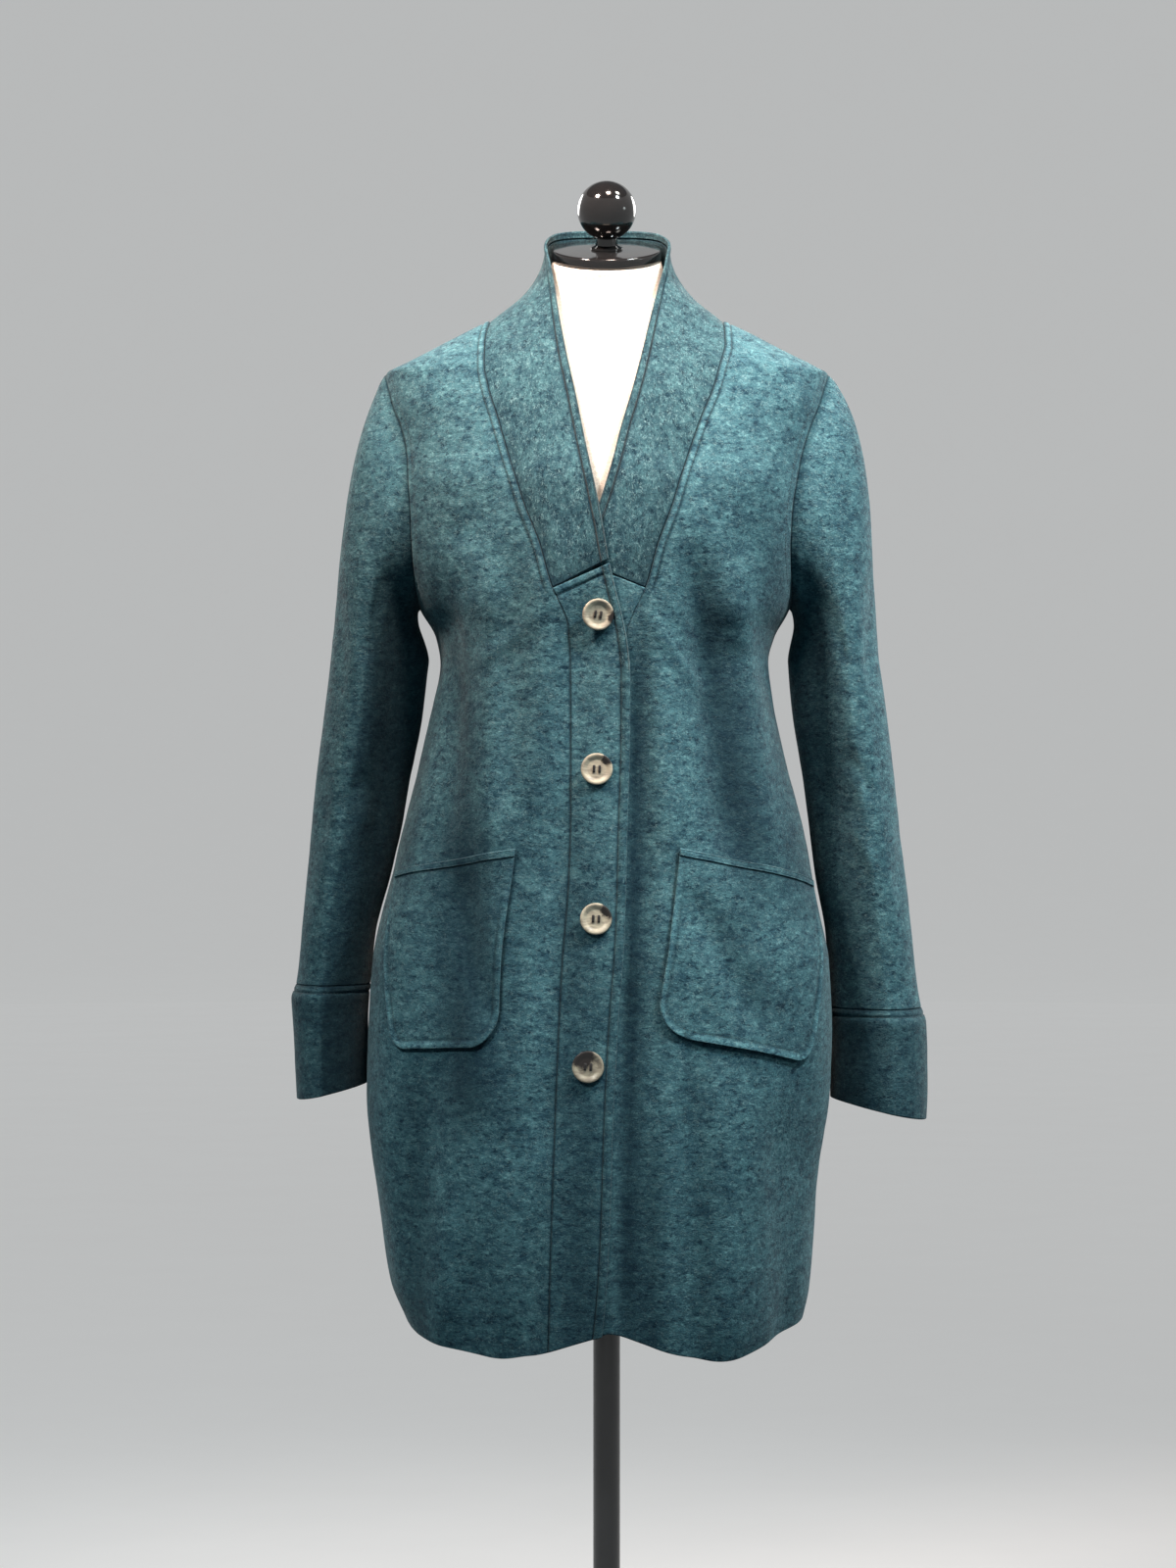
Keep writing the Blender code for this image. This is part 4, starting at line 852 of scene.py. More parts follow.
# Each button's dark patch, by its middle and size, the turn of its streaks, how light its horn is,
# and how it is turned and tipped on its thread, in radians
HORN = (
    ("x", "y", "size", "streaks", "tone", "spin", "tip"),
    (0.0150, -0.0010, 0.0066, 0.5, 0.95, -0.16, 0.20),
    (0.0085, 0.0090, 0.0050, 1.1, 0.90, -0.05, 0.03),
    (0.0110, 0.0080, 0.0075, 0.2, 0.92, -0.03, 0.05),
    (-0.0060, 0.0090, 0.0115, -0.6, 0.62, -0.08, -0.04),
)
HORN_BANDS = (
    (0.30, (0.270, 0.235, 0.190)),
    (0.45, (0.470, 0.420, 0.320)),
    (0.62, (0.640, 0.590, 0.440)),
)
HORN_DARK = (0.020, 0.016, 0.015)

# The wool's colour, and the layers of noise that multiply it: each stop is a place on the noise and
# the factor there. "drawn" is swirled, "moved" is shifted and "even" isn't stretched
WOOL_BASE = (0.049, 0.133, 0.164)
# The dark navy that seam lines and painted shade blend toward
WOOL_SEAM_AND_SHADE = (0.005, 0.020, 0.034)
WOOL_SHEEN = 0.17
WOOL_LAYERS = (
    ("place", "scale", "detail", "rough", "twist", "stops"),
    ("drawn", 88, 5.0, 0.66, 0.0, ((0.38, (0.55, 0.61, 0.68)), (0.62, (1.46, 1.40, 1.33)))),
    ("drawn", 215, 3.0, 0.62, 0.4, ((0.35, (0.30, 0.38, 0.46)), (0.46, (1.00, 1.00, 1.00)))),
    ("moved", 260, 4.0, 0.70, 0.6, ((0.52, (1.00, 1.00, 1.00)), (0.66, (2.30, 1.90, 1.75)))),
    ("moved", 820, 3.0, 0.70, 0.0, ((0.30, (0.66, 0.67, 0.69)), (0.70, (1.42, 1.38, 1.35)))),
    ("even", 22, 3.0, 0.60, 0.0, ((0.30, (0.84, 0.86, 0.88)), (0.70, (1.16, 1.14, 1.12)))),
)
FIBRE_LIGHT = (0.190, 0.330, 0.345)
FIBRE_DARK = (0.012, 0.036, 0.055)
WOOL_FIBRES = (
    ("place", "scale", "width", "colour"),
    ("drawn", 150, 0.020, FIBRE_LIGHT),
    ("moved", 185, 0.024, FIBRE_LIGHT),
    ("moved", 120, 0.016, FIBRE_DARK),
)
FLECKS_ACROSS = (0.72, 0.72, 1.34)
FLECKS_UP = (1.26, 1.26, 0.70)

# Lights: place, aim, size, how wide the beam spreads in degrees, power, colour
LIGHTS = (
    ("name", "x", "y", "z", "to_x", "to_y", "to_z", "size", "spread", "power", "r", "g", "b"),
    ("key", 1.25, -1.00, 2.90, 0.02, -0.05, 1.05, 0.35, 70, 7.1, 0.88, 0.97, 1.0),
    ("shoulders_right", -0.85, -0.85, 2.75, 0.00, -0.05, 1.40, 0.35, 30, 2.3, 1.0, 0.80, 0.71),
    ("shoulders", 0.15, -0.75, 2.90, 0.01, -0.06, 1.38, 0.35, 34, 1.45, 1.0, 0.78, 0.68),
    ("side_high", 0.90, -0.35, 2.90, 0.20, -0.02, 1.10, 0.35, 60, 1.4, 1.0, 0.98, 0.90),
    ("side_low", 1.90, -0.60, 1.60, 0.15, 0.00, 0.80, 0.35, 50, 0.45, 0.90, 1.0, 1.0),
    ("hem_right", -1.05, -1.50, 2.20, -0.08, -0.10, 0.56, 0.35, 22, 0.42, 0.95, 1.0, 1.0),
    ("back_right", -1.50, 2.20, 2.20, 0.00, 0.00, 1.00, 1.20, 90, 9, 1.0, 0.98, 0.95),
    ("back_left", 1.60, 2.10, 2.10, 0.00, 0.00, 1.00, 1.20, 90, 8, 1.0, 0.98, 0.95),
)
WORLD_COLOUR = (0.50, 0.82, 1.00)
WORLD_STRENGTH = 0.078
FLOOR_GLOW = 0.47
FLOOR_RADIUS = 16.0
WALL_TOP_Z = 14.0
CAMERA_PLACE = (-0.0173, -3.05, 0.988)
CAMERA_LENS = 75.375

FINISH = {}
STITCHES = []


def steps_across(lengths, cell=CELL, first=True, last=True):
    """Shares across rows of these lengths: close together by the edges, evenly spaced between."""
    lengths = np.atleast_1d(lengths)[:, None]
    near = np.array(EDGE_STEPS)[None, :]
    low = near if first else near[:, :1]
    high = near if last else near[:, :1]
    room = lengths - low[:, -1:] - high[:, -1:]
    count = max(2, int(np.ceil(room.max() / cell)))
    between = low[:, -1:] + room * np.linspace(0, 1, count + 1)[None, 1:-1]
    low, high = (np.broadcast_to(part, (len(lengths), part.shape[1])) for part in (low, high))
    return np.concatenate([low, between, lengths - high[:, ::-1]], axis=1) / lengths


def row_lengths(points):
    return np.linalg.norm(np.diff(points, axis=1), axis=-1).sum(axis=1)


def from_edges(points):
    """How far each point of a grid is from the first and the last column, along its row."""
    step = np.linalg.norm(np.diff(points, axis=1), axis=-1)
    run = np.concatenate([np.zeros((len(points), 1)), np.cumsum(step, axis=1)], axis=1)
    return run, run[:, -1:] - run


def from_ends(points):
    """How far each point of a grid is from the first and the last row, along its column."""
    return [away.T for away in from_edges(points.transpose(1, 0, 2))]


def noise(points, size, seed):
    """Smooth noise from -1 to 1, with bumps of about this size."""
    values = np.random.default_rng(seed).uniform(-1, 1, (24, 24, 24))
    place = points / size
    low = np.floor(place).astype(int)
    t = place - low
    t = t * t * (3 - 2 * t)
    total = np.zeros(points.shape[:-1])
    for corner in np.ndindex(2, 2, 2):
        share = np.prod(np.where(corner, t, 1 - t), axis=-1)
        total += share * values[tuple(np.moveaxis((low + corner) % 24, -1, 0))]
    return total


def crease(x, z, row):
    """One soft ridge or trough along a bowed way, fading to nothing at its two ends."""
    x0, z0, x1, z1, bow, spread, height = row
    t = np.linspace(0, 1, 9)
    way = np.array([x1 - x0, z1 - z0])
    length = np.hypot(*way)
    swing = bow * 4 * t * (1 - t)
    px = x0 + way[0] * t + swing * way[1] / length
    pz = z0 + way[1] * t - swing * way[0] / length
    best = np.full(np.shape(x), 9.0)
    at = np.zeros(np.shape(x))
    for i in range(len(t) - 1):
        dx, dz = px[i + 1] - px[i], pz[i + 1] - pz[i]
        share = np.clip(((x - px[i]) * dx + (z - pz[i]) * dz) / (dx * dx + dz * dz), 0, 1)
        away = np.hypot(x - px[i] - share * dx, z - pz[i] - share * dz)
        nearer = away < best
        best = np.where(nearer, away, best)
        at = np.where(nearer, t[i] + share * (t[i + 1] - t[i]), at)
    taper = ramp(0, 0.25, at) * (1 - ramp(0.75, 1, at))
    return height * taper * hill(best, spread)


def each_crease(table, points, under):
    """What each row of a table does at each point; "under" is the left front's, by the front edge."""
    x, y, z = np.moveaxis(points, -1, 0)
    ahead = 1 - ramp(-0.02, 0.03, y)
    share = {"front": ahead, "back": 1 - ahead, "both": 1.0, "under": ahead * under}
    for face, *row in table[1:]:
        yield crease(x, z, row) * share[face]


def unevenness(points):
    return LUMP * noise(points, LUMP_SIZE, 3) + SOFT * noise(points, SOFT_SIZE, 5)


def body_relief(points, under=False):
    """How far the body's cloth stands out or in at each point, by its creases and unevenness."""
    return sum(each_crease(CREASES, points, under), unevenness(points))


def sleeve_relief(side, turn, points):
    """The same for a sleeve and its cuff."""
    out = unevenness(points)
    width = SLEEVE_RADIUS * pi / 180
    for where, start, z0, end, z1, *rest in SLEEVE_CREASES[1:]:
        if where == side:
            row = (0, z0, (end - start) * width, z1, *rest)
            out = out + crease(degrees_from(turn, start) * width, points[..., 2], row)
    return out


def painted_crease_tone(points, under=False):
    """How light the body's cloth is left by the painted shade, and painted light, beside its creases.
    """
    tone = 1.0
    for shade in each_crease(PAINTED_SHADE_AND_LIGHT, points, under):
        tone = tone * (1 - shade)
    return tone


def under_arm(side, facing, z):
    """The same for the side of a sleeve that lies against the body."""
    inward = facing[..., 0] * SIGN[side] * -1
    start, end, depth = UNDER_ARM[side]
    return 1 - depth * ramp(start, end, inward) * (1 - ramp(1.12, 1.24, z))


def stitched(away):
    """The swelling between a seam and its topstitching, and the groove that the stitches pull in."""
    puff = SEAM_PUFF * hill(away, STITCH_LINE * 0.3, STITCH_LINE * 0.5)
    return puff - GROOVE_DEPTH * hill(away, GROOVE_SPREAD, STITCH_LINE)


def seam_tone(away, depth=SEAM_DARK):
    """The wool is darker along a seam: a dark joint, with painted shade in the seam's ditch."""
    return 1 - depth * hill(away, SEAM_DARK_SPREAD)


def stitch_tone(away, depth=STITCH_DARK):
    """The wool is painted darker where topstitching pulls it in, as shade in its groove, and painted
    lighter just beside it, as a highlight.
    """
    line = 1 - depth * hill(away, STITCH_DARK_SPREAD, STITCH_LINE)
    return line + STRIP_LIGHT * hill(away, STITCH_LINE * 0.28, STITCH_LINE * 0.55)


def partly(tone, share):
    """A tone that counts only by this share."""
    return 1 + (tone - 1) * share


# Making meshes


def closed(grid):
    """A grid with its first column again after its last."""
    return np.concatenate([grid, grid[:, :1]], axis=1)


def grid_quads(index):
    corners = (index[:-1, :-1], index[:-1, 1:], index[1:, 1:], index[1:, :-1])
    return np.stack(corners, axis=-1).reshape(-1, 4)


def mesh_object(name, points, quads, finish):
    mesh = bpy.data.meshes.new(name)
    points = np.ascontiguousarray(points, dtype=np.float32)
    quads = np.ascontiguousarray(quads, dtype=np.int32)
    mesh.vertices.add(len(points))
    mesh.vertices.foreach_set("co", points.ravel())
    mesh.loops.add(quads.size)
    mesh.loops.foreach_set("vertex_index", quads.ravel())
    mesh.polygons.add(len(quads))
    mesh.polygons.foreach_set("loop_start", np.arange(0, quads.size, 4, dtype=np.int32))
    mesh.update(calc_edges=True)
    mesh.validate()
    mesh.shade_smooth()
    mesh.materials.append(finish)
    made = bpy.data.objects.new(name, mesh)
    bpy.context.scene.collection.objects.link(made)
    return made


def ring_mesh(name, points, finish):
    """A mesh of rings of points, one ring in each row."""
    index = np.arange(points.size // 3).reshape(points.shape[:2])
    return mesh_object(name, points.reshape(-1, 3), grid_quads(closed(index)), finish)


def shell(name, outer, facing, finish, thick, ring, tone):
    """A thin wall of cloth under a grid of points, closed all round by a rounded rim.

    tone is how light the wool is at each point: the material takes it from the "tone" attribute.
    """
    under = outer.size // 3
    tone = (np.ones(outer.shape[:2]) * tone).reshape(-1)
    index = np.arange(under).reshape(outer.shape[:2])
    inward = np.zeros_like(outer)
    inward[0] += unit(outer[1] - outer[0])
    inward[-1] += unit(outer[-2] - outer[-1])
    if ring:
        loops = [index[0], index[-1][::-1]]
        index = closed(index)
    else:
        inward[:, 0] += unit(outer[:, 1] - outer[:, 0])
        inward[:, -1] += unit(outer[:, -2] - outer[:, -1])
        sides = [index[0, :-1], index[:-1, -1], index[-1, :0:-1], index[:0:-1, 0]]
        loops = [np.concatenate(sides)]
    top = outer + RIM_BACK * inward
    points = [top.reshape(-1, 3), (top - facing * thick).reshape(-1, 3)]
    tones = [tone, tone]
    grid = grid_quads(index)
    quads = [grid, grid[:, ::-1] + under]
    count = 2 * under
    flat_outer, flat_in, flat_facing = (a.reshape(-1, 3) for a in (outer, inward, facing))
    for loop in loops:
        layers = [loop]
        for turn in RIM_TURNS:
            a = radians(turn)
            back = flat_in[loop] * RIM_BACK * (1 - sin(a))
            points.append(flat_outer[loop] + back - flat_facing[loop] * thick / 2 * (1 - cos(a)))
            tones.append(tone[loop])
            layers.append(np.arange(count, count + len(loop)))
            count += len(loop)
        layers.append(loop + under)
        for high, low in zip(layers, layers[1:]):
            quads.append(np.stack([np.roll(high, -1), high, low, np.roll(low, -1)], axis=-1))
    quads = np.concatenate(quads)
    spans = np.cross(outer[:-1, 1:] - outer[:-1, :-1], outer[1:, :-1] - outer[:-1, :-1])
    if (spans * facing[:-1, :-1]).sum() < 0:
        quads = quads[:, ::-1]
    made = mesh_object(name, np.concatenate(points), quads, finish)
    kept = made.data.attributes.new("tone", "FLOAT", "POINT")
    kept.data.foreach_set("value", np.concatenate(tones).astype(np.float32))
    return made


def lathe(name, profile, finish, sides, centre=(0, 0, 0), axis=(0, 0, 1)):
    """A surface turned round an axis; the profile's (radius, height) points start and end on it."""
    radius, height = np.array(profile).T[..., None]
    turn = np.linspace(0, 2 * pi, sides, endpoint=False)
    radius = np.maximum(radius, 1e-5)
    rings = np.stack([radius * np.cos(turn), radius * np.sin(turn), height + 0 * turn], axis=-1)
    side = unit(np.cross((0, 1, 0), axis))
    axes = np.array([side, np.cross(axis, side), axis])
    made = ring_mesh(name, rings @ axes + np.array(centre), finish)
    made.data.set_sharp_from_angle(angle=radians(50))
    return made


def rounded(points, radius, parts=5):
    """A profile with its inner corners rounded."""
    out = [points[0]]
    for corner in zip(points, points[1:], points[2:]):
        before, at, after = np.array(corner, float)
        reach = min(radius, np.linalg.norm(before - at) / 2, np.linalg.norm(after - at) / 2)
        start, end = at + unit(before - at) * reach, at + unit(after - at) * reach
        for t in np.linspace(0, 1, parts):
            out.append(tuple(start * (1 - t) ** 2 + at * 2 * t * (1 - t) + end * t * t))
    return [*out, points[-1]]


def stitch_along(points, facing):
    """Short stitches along a line of points on the cloth."""
    run = np.concatenate([[0], np.cumsum(np.linalg.norm(np.diff(points, axis=0), axis=-1))])
    places = np.arange(STITCH_PITCH / 2, run[-1] - STITCH_PITCH / 2, STITCH_PITCH)

    def at(values, where):
        return np.stack([np.interp(where, run, values[:, i]) for i in range(3)], axis=-1)

    first, last = at(points, places - STITCH_LENGTH / 2), at(points, places + STITCH_LENGTH / 2)
    STITCHES.append((first, last, unit(at(facing, places))))


def sew(name, finish):
    """All stitches as one piece: each is a short thread that dips into the cloth at both ends."""
    share, wide, high = np.array(STITCH_RINGS).T[..., None, None, None]
    a = (2 * pi * np.arange(STITCH_SIDES) / STITCH_SIDES)[:, None, None]
    points, quads, count = [], [], 0
    for first, last, facing in STITCHES:
        side = unit(np.cross(last - first, facing))
        middle = first + (last - first) * share + facing * (STITCH_RADIUS * high)
        reach = STITCH_RADIUS * wide
        rings = middle + side * reach * np.cos(a) + facing * reach * np.sin(a)
        points.append(rings.reshape(-1, 3))
        quads.append(grid_quads(closed(count + np.arange(rings.size // 3).reshape(rings.shape[:3]))))
        count += len(points[-1])
    return mesh_object(name, np.concatenate(points), np.concatenate(quads), finish)


# Finishes


def add_node(tree, kind, inputs, **settings):
    """A node with these settings, its inputs by name or number linked or set to a plain value."""
    node = tree.nodes.new(kind)
    for name, value in settings.items():
        setattr(node, name, value)
    for place, value in inputs.items():
        socket = node.inputs[place]
        if isinstance(value, bpy.types.NodeSocket):
            tree.links.new(value, socket)
        else:
            socket.default_value = (*value, 1) if socket.type == "RGBA" else value
    return node


def material(name, **inputs):
    """A new material, its tree and its shader, with plain values for the shader's inputs."""
    made = bpy.data.materials.new(name)
    made.use_nodes = True
    shader = made.node_tree.nodes["Principled BSDF"]
    for place, value in inputs.items():
        shader.inputs[place.replace("_", " ")].default_value = value
    return made, made.node_tree, shader


def vector_node(tree, operation, first, second):
    node = add_node(tree, "ShaderNodeVectorMath", {0: first, 1: second}, operation=operation)
    return node.outputs["Value" if operation == "DISTANCE" else "Vector"]


def math_node(tree, operation, first, second):
    return add_node(tree, "ShaderNodeMath", {0: first, 1: second}, operation=operation).outputs[0]


def noise_node(tree, vector, scale, detail=3.0, rough=0.6, twist=0.0):
    inputs = {"Vector": vector, "Scale": scale, "Detail": detail, "Roughness": rough}
    return add_node(tree, "ShaderNodeTexNoise", {**inputs, "Distortion": twist}).outputs["Fac"]


def stretched(tree, scale, warp=0.0, warp_scale=60.0, shift=None):
    """The object's own coordinates, scaled, with a little swirl or a shift."""
    place = tree.nodes.new("ShaderNodeTexCoord").outputs["Object"]
    if warp:
        inputs = {"Vector": place, "Scale": warp_scale, "Detail": 2.0}
        swirl = add_node(tree, "ShaderNodeTexNoise", inputs).outputs["Color"]
        swirl = vector_node(tree, "SUBTRACT", swirl, (0.5, 0.5, 0.5))
        place = vector_node(tree, "ADD", place, vector_node(tree, "MULTIPLY", swirl, (warp,) * 3))
    if shift:
        place = vector_node(tree, "ADD", place, shift)
    return vector_node(tree, "MULTIPLY", place, scale)


def ramp_node(tree, value, stops):
    """A colour ramp; a stop's second part is a colour or one level of grey."""
    node = add_node(tree, "ShaderNodeValToRGB", {"Fac": value})
    while len(node.color_ramp.elements) < len(stops):
        node.color_ramp.elements.new(0.5)
    for element, (place, colour) in zip(node.color_ramp.elements, stops):
        element.position = place
        element.color = (*colour, 1) if isinstance(colour, tuple) else (colour, colour, colour, 1)
    return node.outputs["Color"]


def mix_colour(tree, factor, first, second, blend="MIX"):
    inputs = {0: factor, 6: first, 7: second}
    node = add_node(tree, "ShaderNodeMix", inputs, data_type="RGBA", blend_type=blend)
    return node.outputs[2]


def bumped(tree, shader, height, strength, distance):
    inputs = {"Height": height, "Strength": strength, "Distance": distance}
    bump = add_node(tree, "ShaderNodeBump", inputs)
    tree.links.new(bump.outputs["Normal"], shader.inputs["Normal"])


def times(colour, factor):
    return tuple(part * factor for part in colour)


def wool(name, flecks, tone=1.0):
    """Heathered boiled wool: flecks stretched by this factor along x, y and z, felted and matte."""
    made, tree, shader = material(
        name,
        Roughness=0.95,
        Specular_IOR_Level=0.12,
        Sheen_Weight=WOOL_SHEEN,
        Sheen_Roughness=0.40,
        Sheen_Tint=(0.80, 0.90, 0.90, 1),
    )
    places = {
        "drawn": stretched(tree, flecks, warp=0.0012, warp_scale=260.0),
        "moved": stretched(tree, flecks, shift=(3.1, 1.7, 4.3)),
        "even": stretched(tree, (1.0, 1.0, 1.0)),
    }
    base = times(WOOL_BASE, tone)
    for place, scale, detail, rough, twist, stops in WOOL_LAYERS[1:]:
        value = noise_node(tree, places[place], scale, detail, rough, twist)
        base = mix_colour(tree, 1.0, base, ramp_node(tree, value, stops), "MULTIPLY")
    for place, scale, width, colour in WOOL_FIBRES[1:]:
        curl = noise_node(tree, places[place], scale, 2.0, 0.55, 1.6)
        curl = math_node(tree, "ABSOLUTE", math_node(tree, "SUBTRACT", curl, 0.5), 0.0)
        line = ramp_node(tree, curl, [(0.0, 1), (width, 0)])
        broken = noise_node(tree, places["even"], scale * 1.3, 2.0, 0.6)
        broken = ramp_node(tree, broken, [(0.47, 0), (0.60, 1)])
        base = mix_colour(tree, math_node(tree, "MULTIPLY", line, broken), base, colour)
    # The tone attribute: over 1 is painted light, under 1 blends toward the navy of seam lines and
    # painted shade
    seam_shade_and_light = add_node(tree, "ShaderNodeAttribute", {}, attribute_name="tone").outputs["Fac"]
    base = mix_colour(tree, 1.0, base, math_node(tree, "MAXIMUM", seam_shade_and_light, 1.0), "MULTIPLY")
    base = mix_colour(tree, math_node(tree, "MINIMUM", seam_shade_and_light, 1.0), WOOL_SEAM_AND_SHADE, base)
    tree.links.new(base, shader.inputs["Base Color"])
    felt = noise_node(tree, places["drawn"], 420, 5.0, 0.74, 0.8)
    pills = math_node(tree, "MULTIPLY", noise_node(tree, places["even"], 170, 3.0, 0.6), 1.2)
    bumped(tree, shader, math_node(tree, "ADD", pills, felt), 0.70, 0.0011)
    return made


def thread(name, colour):
    made, tree, shader = material(name, Roughness=0.7, Sheen_Weight=0.1)
    twist = noise_node(tree, stretched(tree, (1.0, 1.0, 1.0)), 1800, 2.0)
    shade = ramp_node(tree, twist, [(0.3, times(colour, 0.6)), (0.7, times(colour, 1.4))])
    tree.links.new(shade, shader.inputs["Base Color"])
    return made


def horn(name, x, y, size, streaks, tone):
    """Cream horn, greyer to one side, with a dark marbled patch and a few faint streaks."""
    made, tree, shader = material(
        name, Roughness=0.36, Specular_IOR_Level=0.40, Coat_Weight=0.10, Coat_Roughness=0.30
    )
    place = tree.nodes.new("ShaderNodeTexCoord").outputs["Object"]
    inputs = {"Vector": place, "Rotation": (0, 0, streaks), "Scale": (1.0, 2.4, 1.0)}
    turned = add_node(tree, "ShaderNodeMapping", inputs).outputs[0]
    streak = noise_node(tree, turned, 70, 4.0, 0.55, 1.4)
    base = ramp_node(tree, streak, [(at, times(colour, tone)) for at, colour in HORN_BANDS])
    away = vector_node(tree, "DISTANCE", place, (x, y, 0.003))
    wobble = math_node(tree, "SUBTRACT", noise_node(tree, place, 210, 4.0, 0.6, 1.2), 0.5)
    reach = math_node(tree, "ADD", away, math_node(tree, "MULTIPLY", wobble, 0.009))
    reach = math_node(tree, "DIVIDE", reach, 2 * size)
    edge = ramp_node(tree, reach, [(0.40, 1), (0.56, 0)])
    tree.links.new(mix_colour(tree, edge, base, HORN_DARK), shader.inputs["Base Color"])
    bumped(tree, shader, streak, 0.15, 0.0002)
    return made


def jersey(name):
    """Cream knitted cover of the dress form: fine upright ribs and a few slubs."""
    made, tree, shader = material(name, Roughness=0.85, Sheen_Weight=0.15, Sheen_Roughness=0.5)
    loops = noise_node(tree, stretched(tree, (1.0, 1.0, 0.45)), 1500, 2.0, 0.5)
    slubs = noise_node(tree, stretched(tree, (0.25, 0.25, 1.6)), 240, 3.0, 0.6)
    base = ramp_node(tree, loops, [(0.30, (0.50, 0.455, 0.385)), (0.70, (0.78, 0.735, 0.655))])
    shade = ramp_node(tree, slubs, [(0.35, (0.90, 0.89, 0.87)), (0.65, (1.08, 1.08, 1.07))])
    base = mix_colour(tree, 1.0, base, shade, "MULTIPLY")
    tree.links.new(base, shader.inputs["Base Color"])
    bumped(tree, shader, loops, 0.5, 0.0004)
    return made


def gloss(name, colour, rough):
    made, tree, shader = material(name, Coat_Weight=0.5, Coat_Roughness=0.06)
    haze = noise_node(tree, stretched(tree, (1.0, 1.0, 1.0)), 90, 3.0)
    level = ramp_node(tree, haze, [(0.3, rough * 0.8), (0.7, rough * 1.3)])
    tree.links.new(level, shader.inputs["Roughness"])
    tint = ramp_node(tree, haze, [(0.3, times(colour, 0.9)), (0.7, times(colour, 1.1))])
    tree.links.new(tint, shader.inputs["Base Color"])
    return made


# Pieces


def declare(piece, node):
    """Puts a piece on the one body in its node's place."""
    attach(piece, "root")
    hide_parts(node)


def flat_size(points):
    """The widest row, the longest column and the area of a grid of points."""
    down, over = points[1:, :-1] - points[:-1, :-1], points[:-1, 1:] - points[:-1, :-1]
    area = np.linalg.norm(np.cross(down, over), axis=-1).sum()
    return row_lengths(points).max(), row_lengths(points.transpose(1, 0, 2)).max(), area


def cloth(node, base, facing, out, finish, tone, ring=False, thick=WALL):
    """A piece of cloth that stands out this far from its surface, with its place."""
    points = base + facing * out[..., None]
    made = shell(f"{node}_cloth", points, facing, FINISH[finish], thick, ring, tone)
    declare(made, node)
    flat_size(closed(base) if ring else base)
    return points


def on_body(angle, z):
    return body(angle, z), body_normals(angle, z)


def pocket_outline(side, top=1.0):
    """Points down one side of a pocket from this share of its height, along its foot and up again."""
    u = np.concatenate([np.zeros(60), np.linspace(0, 1, 80)[1:-1], np.ones(60)])
    v = np.concatenate([np.linspace(top, 0, 60), np.zeros(78), np.linspace(0, top, 60)])
    return body(*pocket_places(side, u, v))


def nearest(points, line):
    """How far each point of a grid is from the nearest of a line's points."""
    flat = points.reshape(-1, 1, 3)
    away = np.full(len(flat), 9.0)
    for part in np.array_split(line, max(1, len(line) // 10)):
        away = np.minimum(away, np.linalg.norm(flat - part[None], axis=-1).min(axis=1))
    return away.reshape(points.shape[:-1])


def fine_front(side):
    shares = steps_across(PANEL_LENGTH)[0]
    widths = row_lengths(body(*front_places(side, shares, np.linspace(0, 1, 40))))
    angle, z = front_places(side, shares, steps_across(widths))
    base, facing = on_body(angle, z)
    inner, outer = from_edges(base)
    collar_side = ramp(BAND_TOP_SEAM_Z - 0.004, BAND_TOP_SEAM_Z + 0.004, z[:, :1])
    armhole_side = ramp(ARMPIT_Z, ARMPIT_Z + 0.02, z[:, -1:])
    out = body_relief(base, side == "left")
    out = out + stitched(inner) * collar_side + ARMHOLE_STITCH * stitched(outer) * armhole_side
    faint = 1.0
    if side == "right":
        out = out + lap(base[..., 0], z)
        faint = ramp(BAND_TOP_SEAM_Z - 0.035, BAND_TOP_SEAM_Z, z[:, :1])
    tone = partly(seam_tone(inner), 1 - 0.7 * faint * (1 - collar_side))
    tone = tone * partly(stitch_tone(inner), collar_side)
    tone = tone * seam_tone(outer, 0.6) * partly(stitch_tone(outer, 0.25), armhole_side)
    # Painted shadow on the front round the pocket's edge, and painted shade and light beside the
    # creases
    tone = tone * seam_tone(nearest(base, pocket_outline(side)) - 0.0008, 0.45)
    tone = tone * painted_crease_tone(base, side == "left")
    points = cloth(f"front_{side}", base, facing, out, "across", tone)
    for place, rows in (
        (STITCH_STEP, z[:, 0] > BAND_TOP_SEAM_Z + 0.004),
        (-1 - STITCH_STEP, z[:, -1] > ARMPIT_Z + 0.015),
    ):
        stitch_along(points[rows, place], facing[rows, place])


def fine_back():
    shares = steps_across(PANEL_LENGTH)[0]
    widths = row_lengths(body(*back_places(shares, np.linspace(-1, 1, 81)))) / 2
    half = 1 - steps_across(widths, last=False)
    angle, z = back_places(shares, np.concatenate([-half, half[:, -2::-1]], axis=1))
    base, facing = on_body(angle, z)
    first, last = from_edges(base)
    sewn = ramp(ARMPIT_Z, ARMPIT_Z + 0.02, z[:, :1])
    out = body_relief(base) + ARMHOLE_STITCH * (stitched(first) + stitched(last)) * sewn
    tone = seam_tone(first, 0.6) * seam_tone(last, 0.6) * seam_tone(from_ends(base)[1], 0.6)
    tone = tone * partly(stitch_tone(np.minimum(first, last), 0.25), sewn)
    points = cloth("back", base, facing, out, "across", tone)
    for place, end in ((STITCH_STEP, 0), (-1 - STITCH_STEP, -1)):
        rows = z[:, end] > ARMPIT_Z + 0.015
        stitch_along(points[rows, place], facing[rows, place])


def strip_places(strip, shares, across):
    """Angles and heights of a strip down the front, between two functions of the height."""
    left_x, right_x, top_left, top_right = strip
    shares = shares[:, None]
    across = np.atleast_2d(across)
    top = top_left + (top_right - top_left) * across
    z = FRONT_HEM_Z + (top - FRONT_HEM_Z) * shares
    angle = front_angle(left_x(z) * (1 - across) + right_x(z) * across, z)
    hem = HEM_AT(np.abs(np.degrees(angle[:1]))) - z[:1]
    return angle, z + hem * (1 - ramp(0, HEM_REACH, shares))


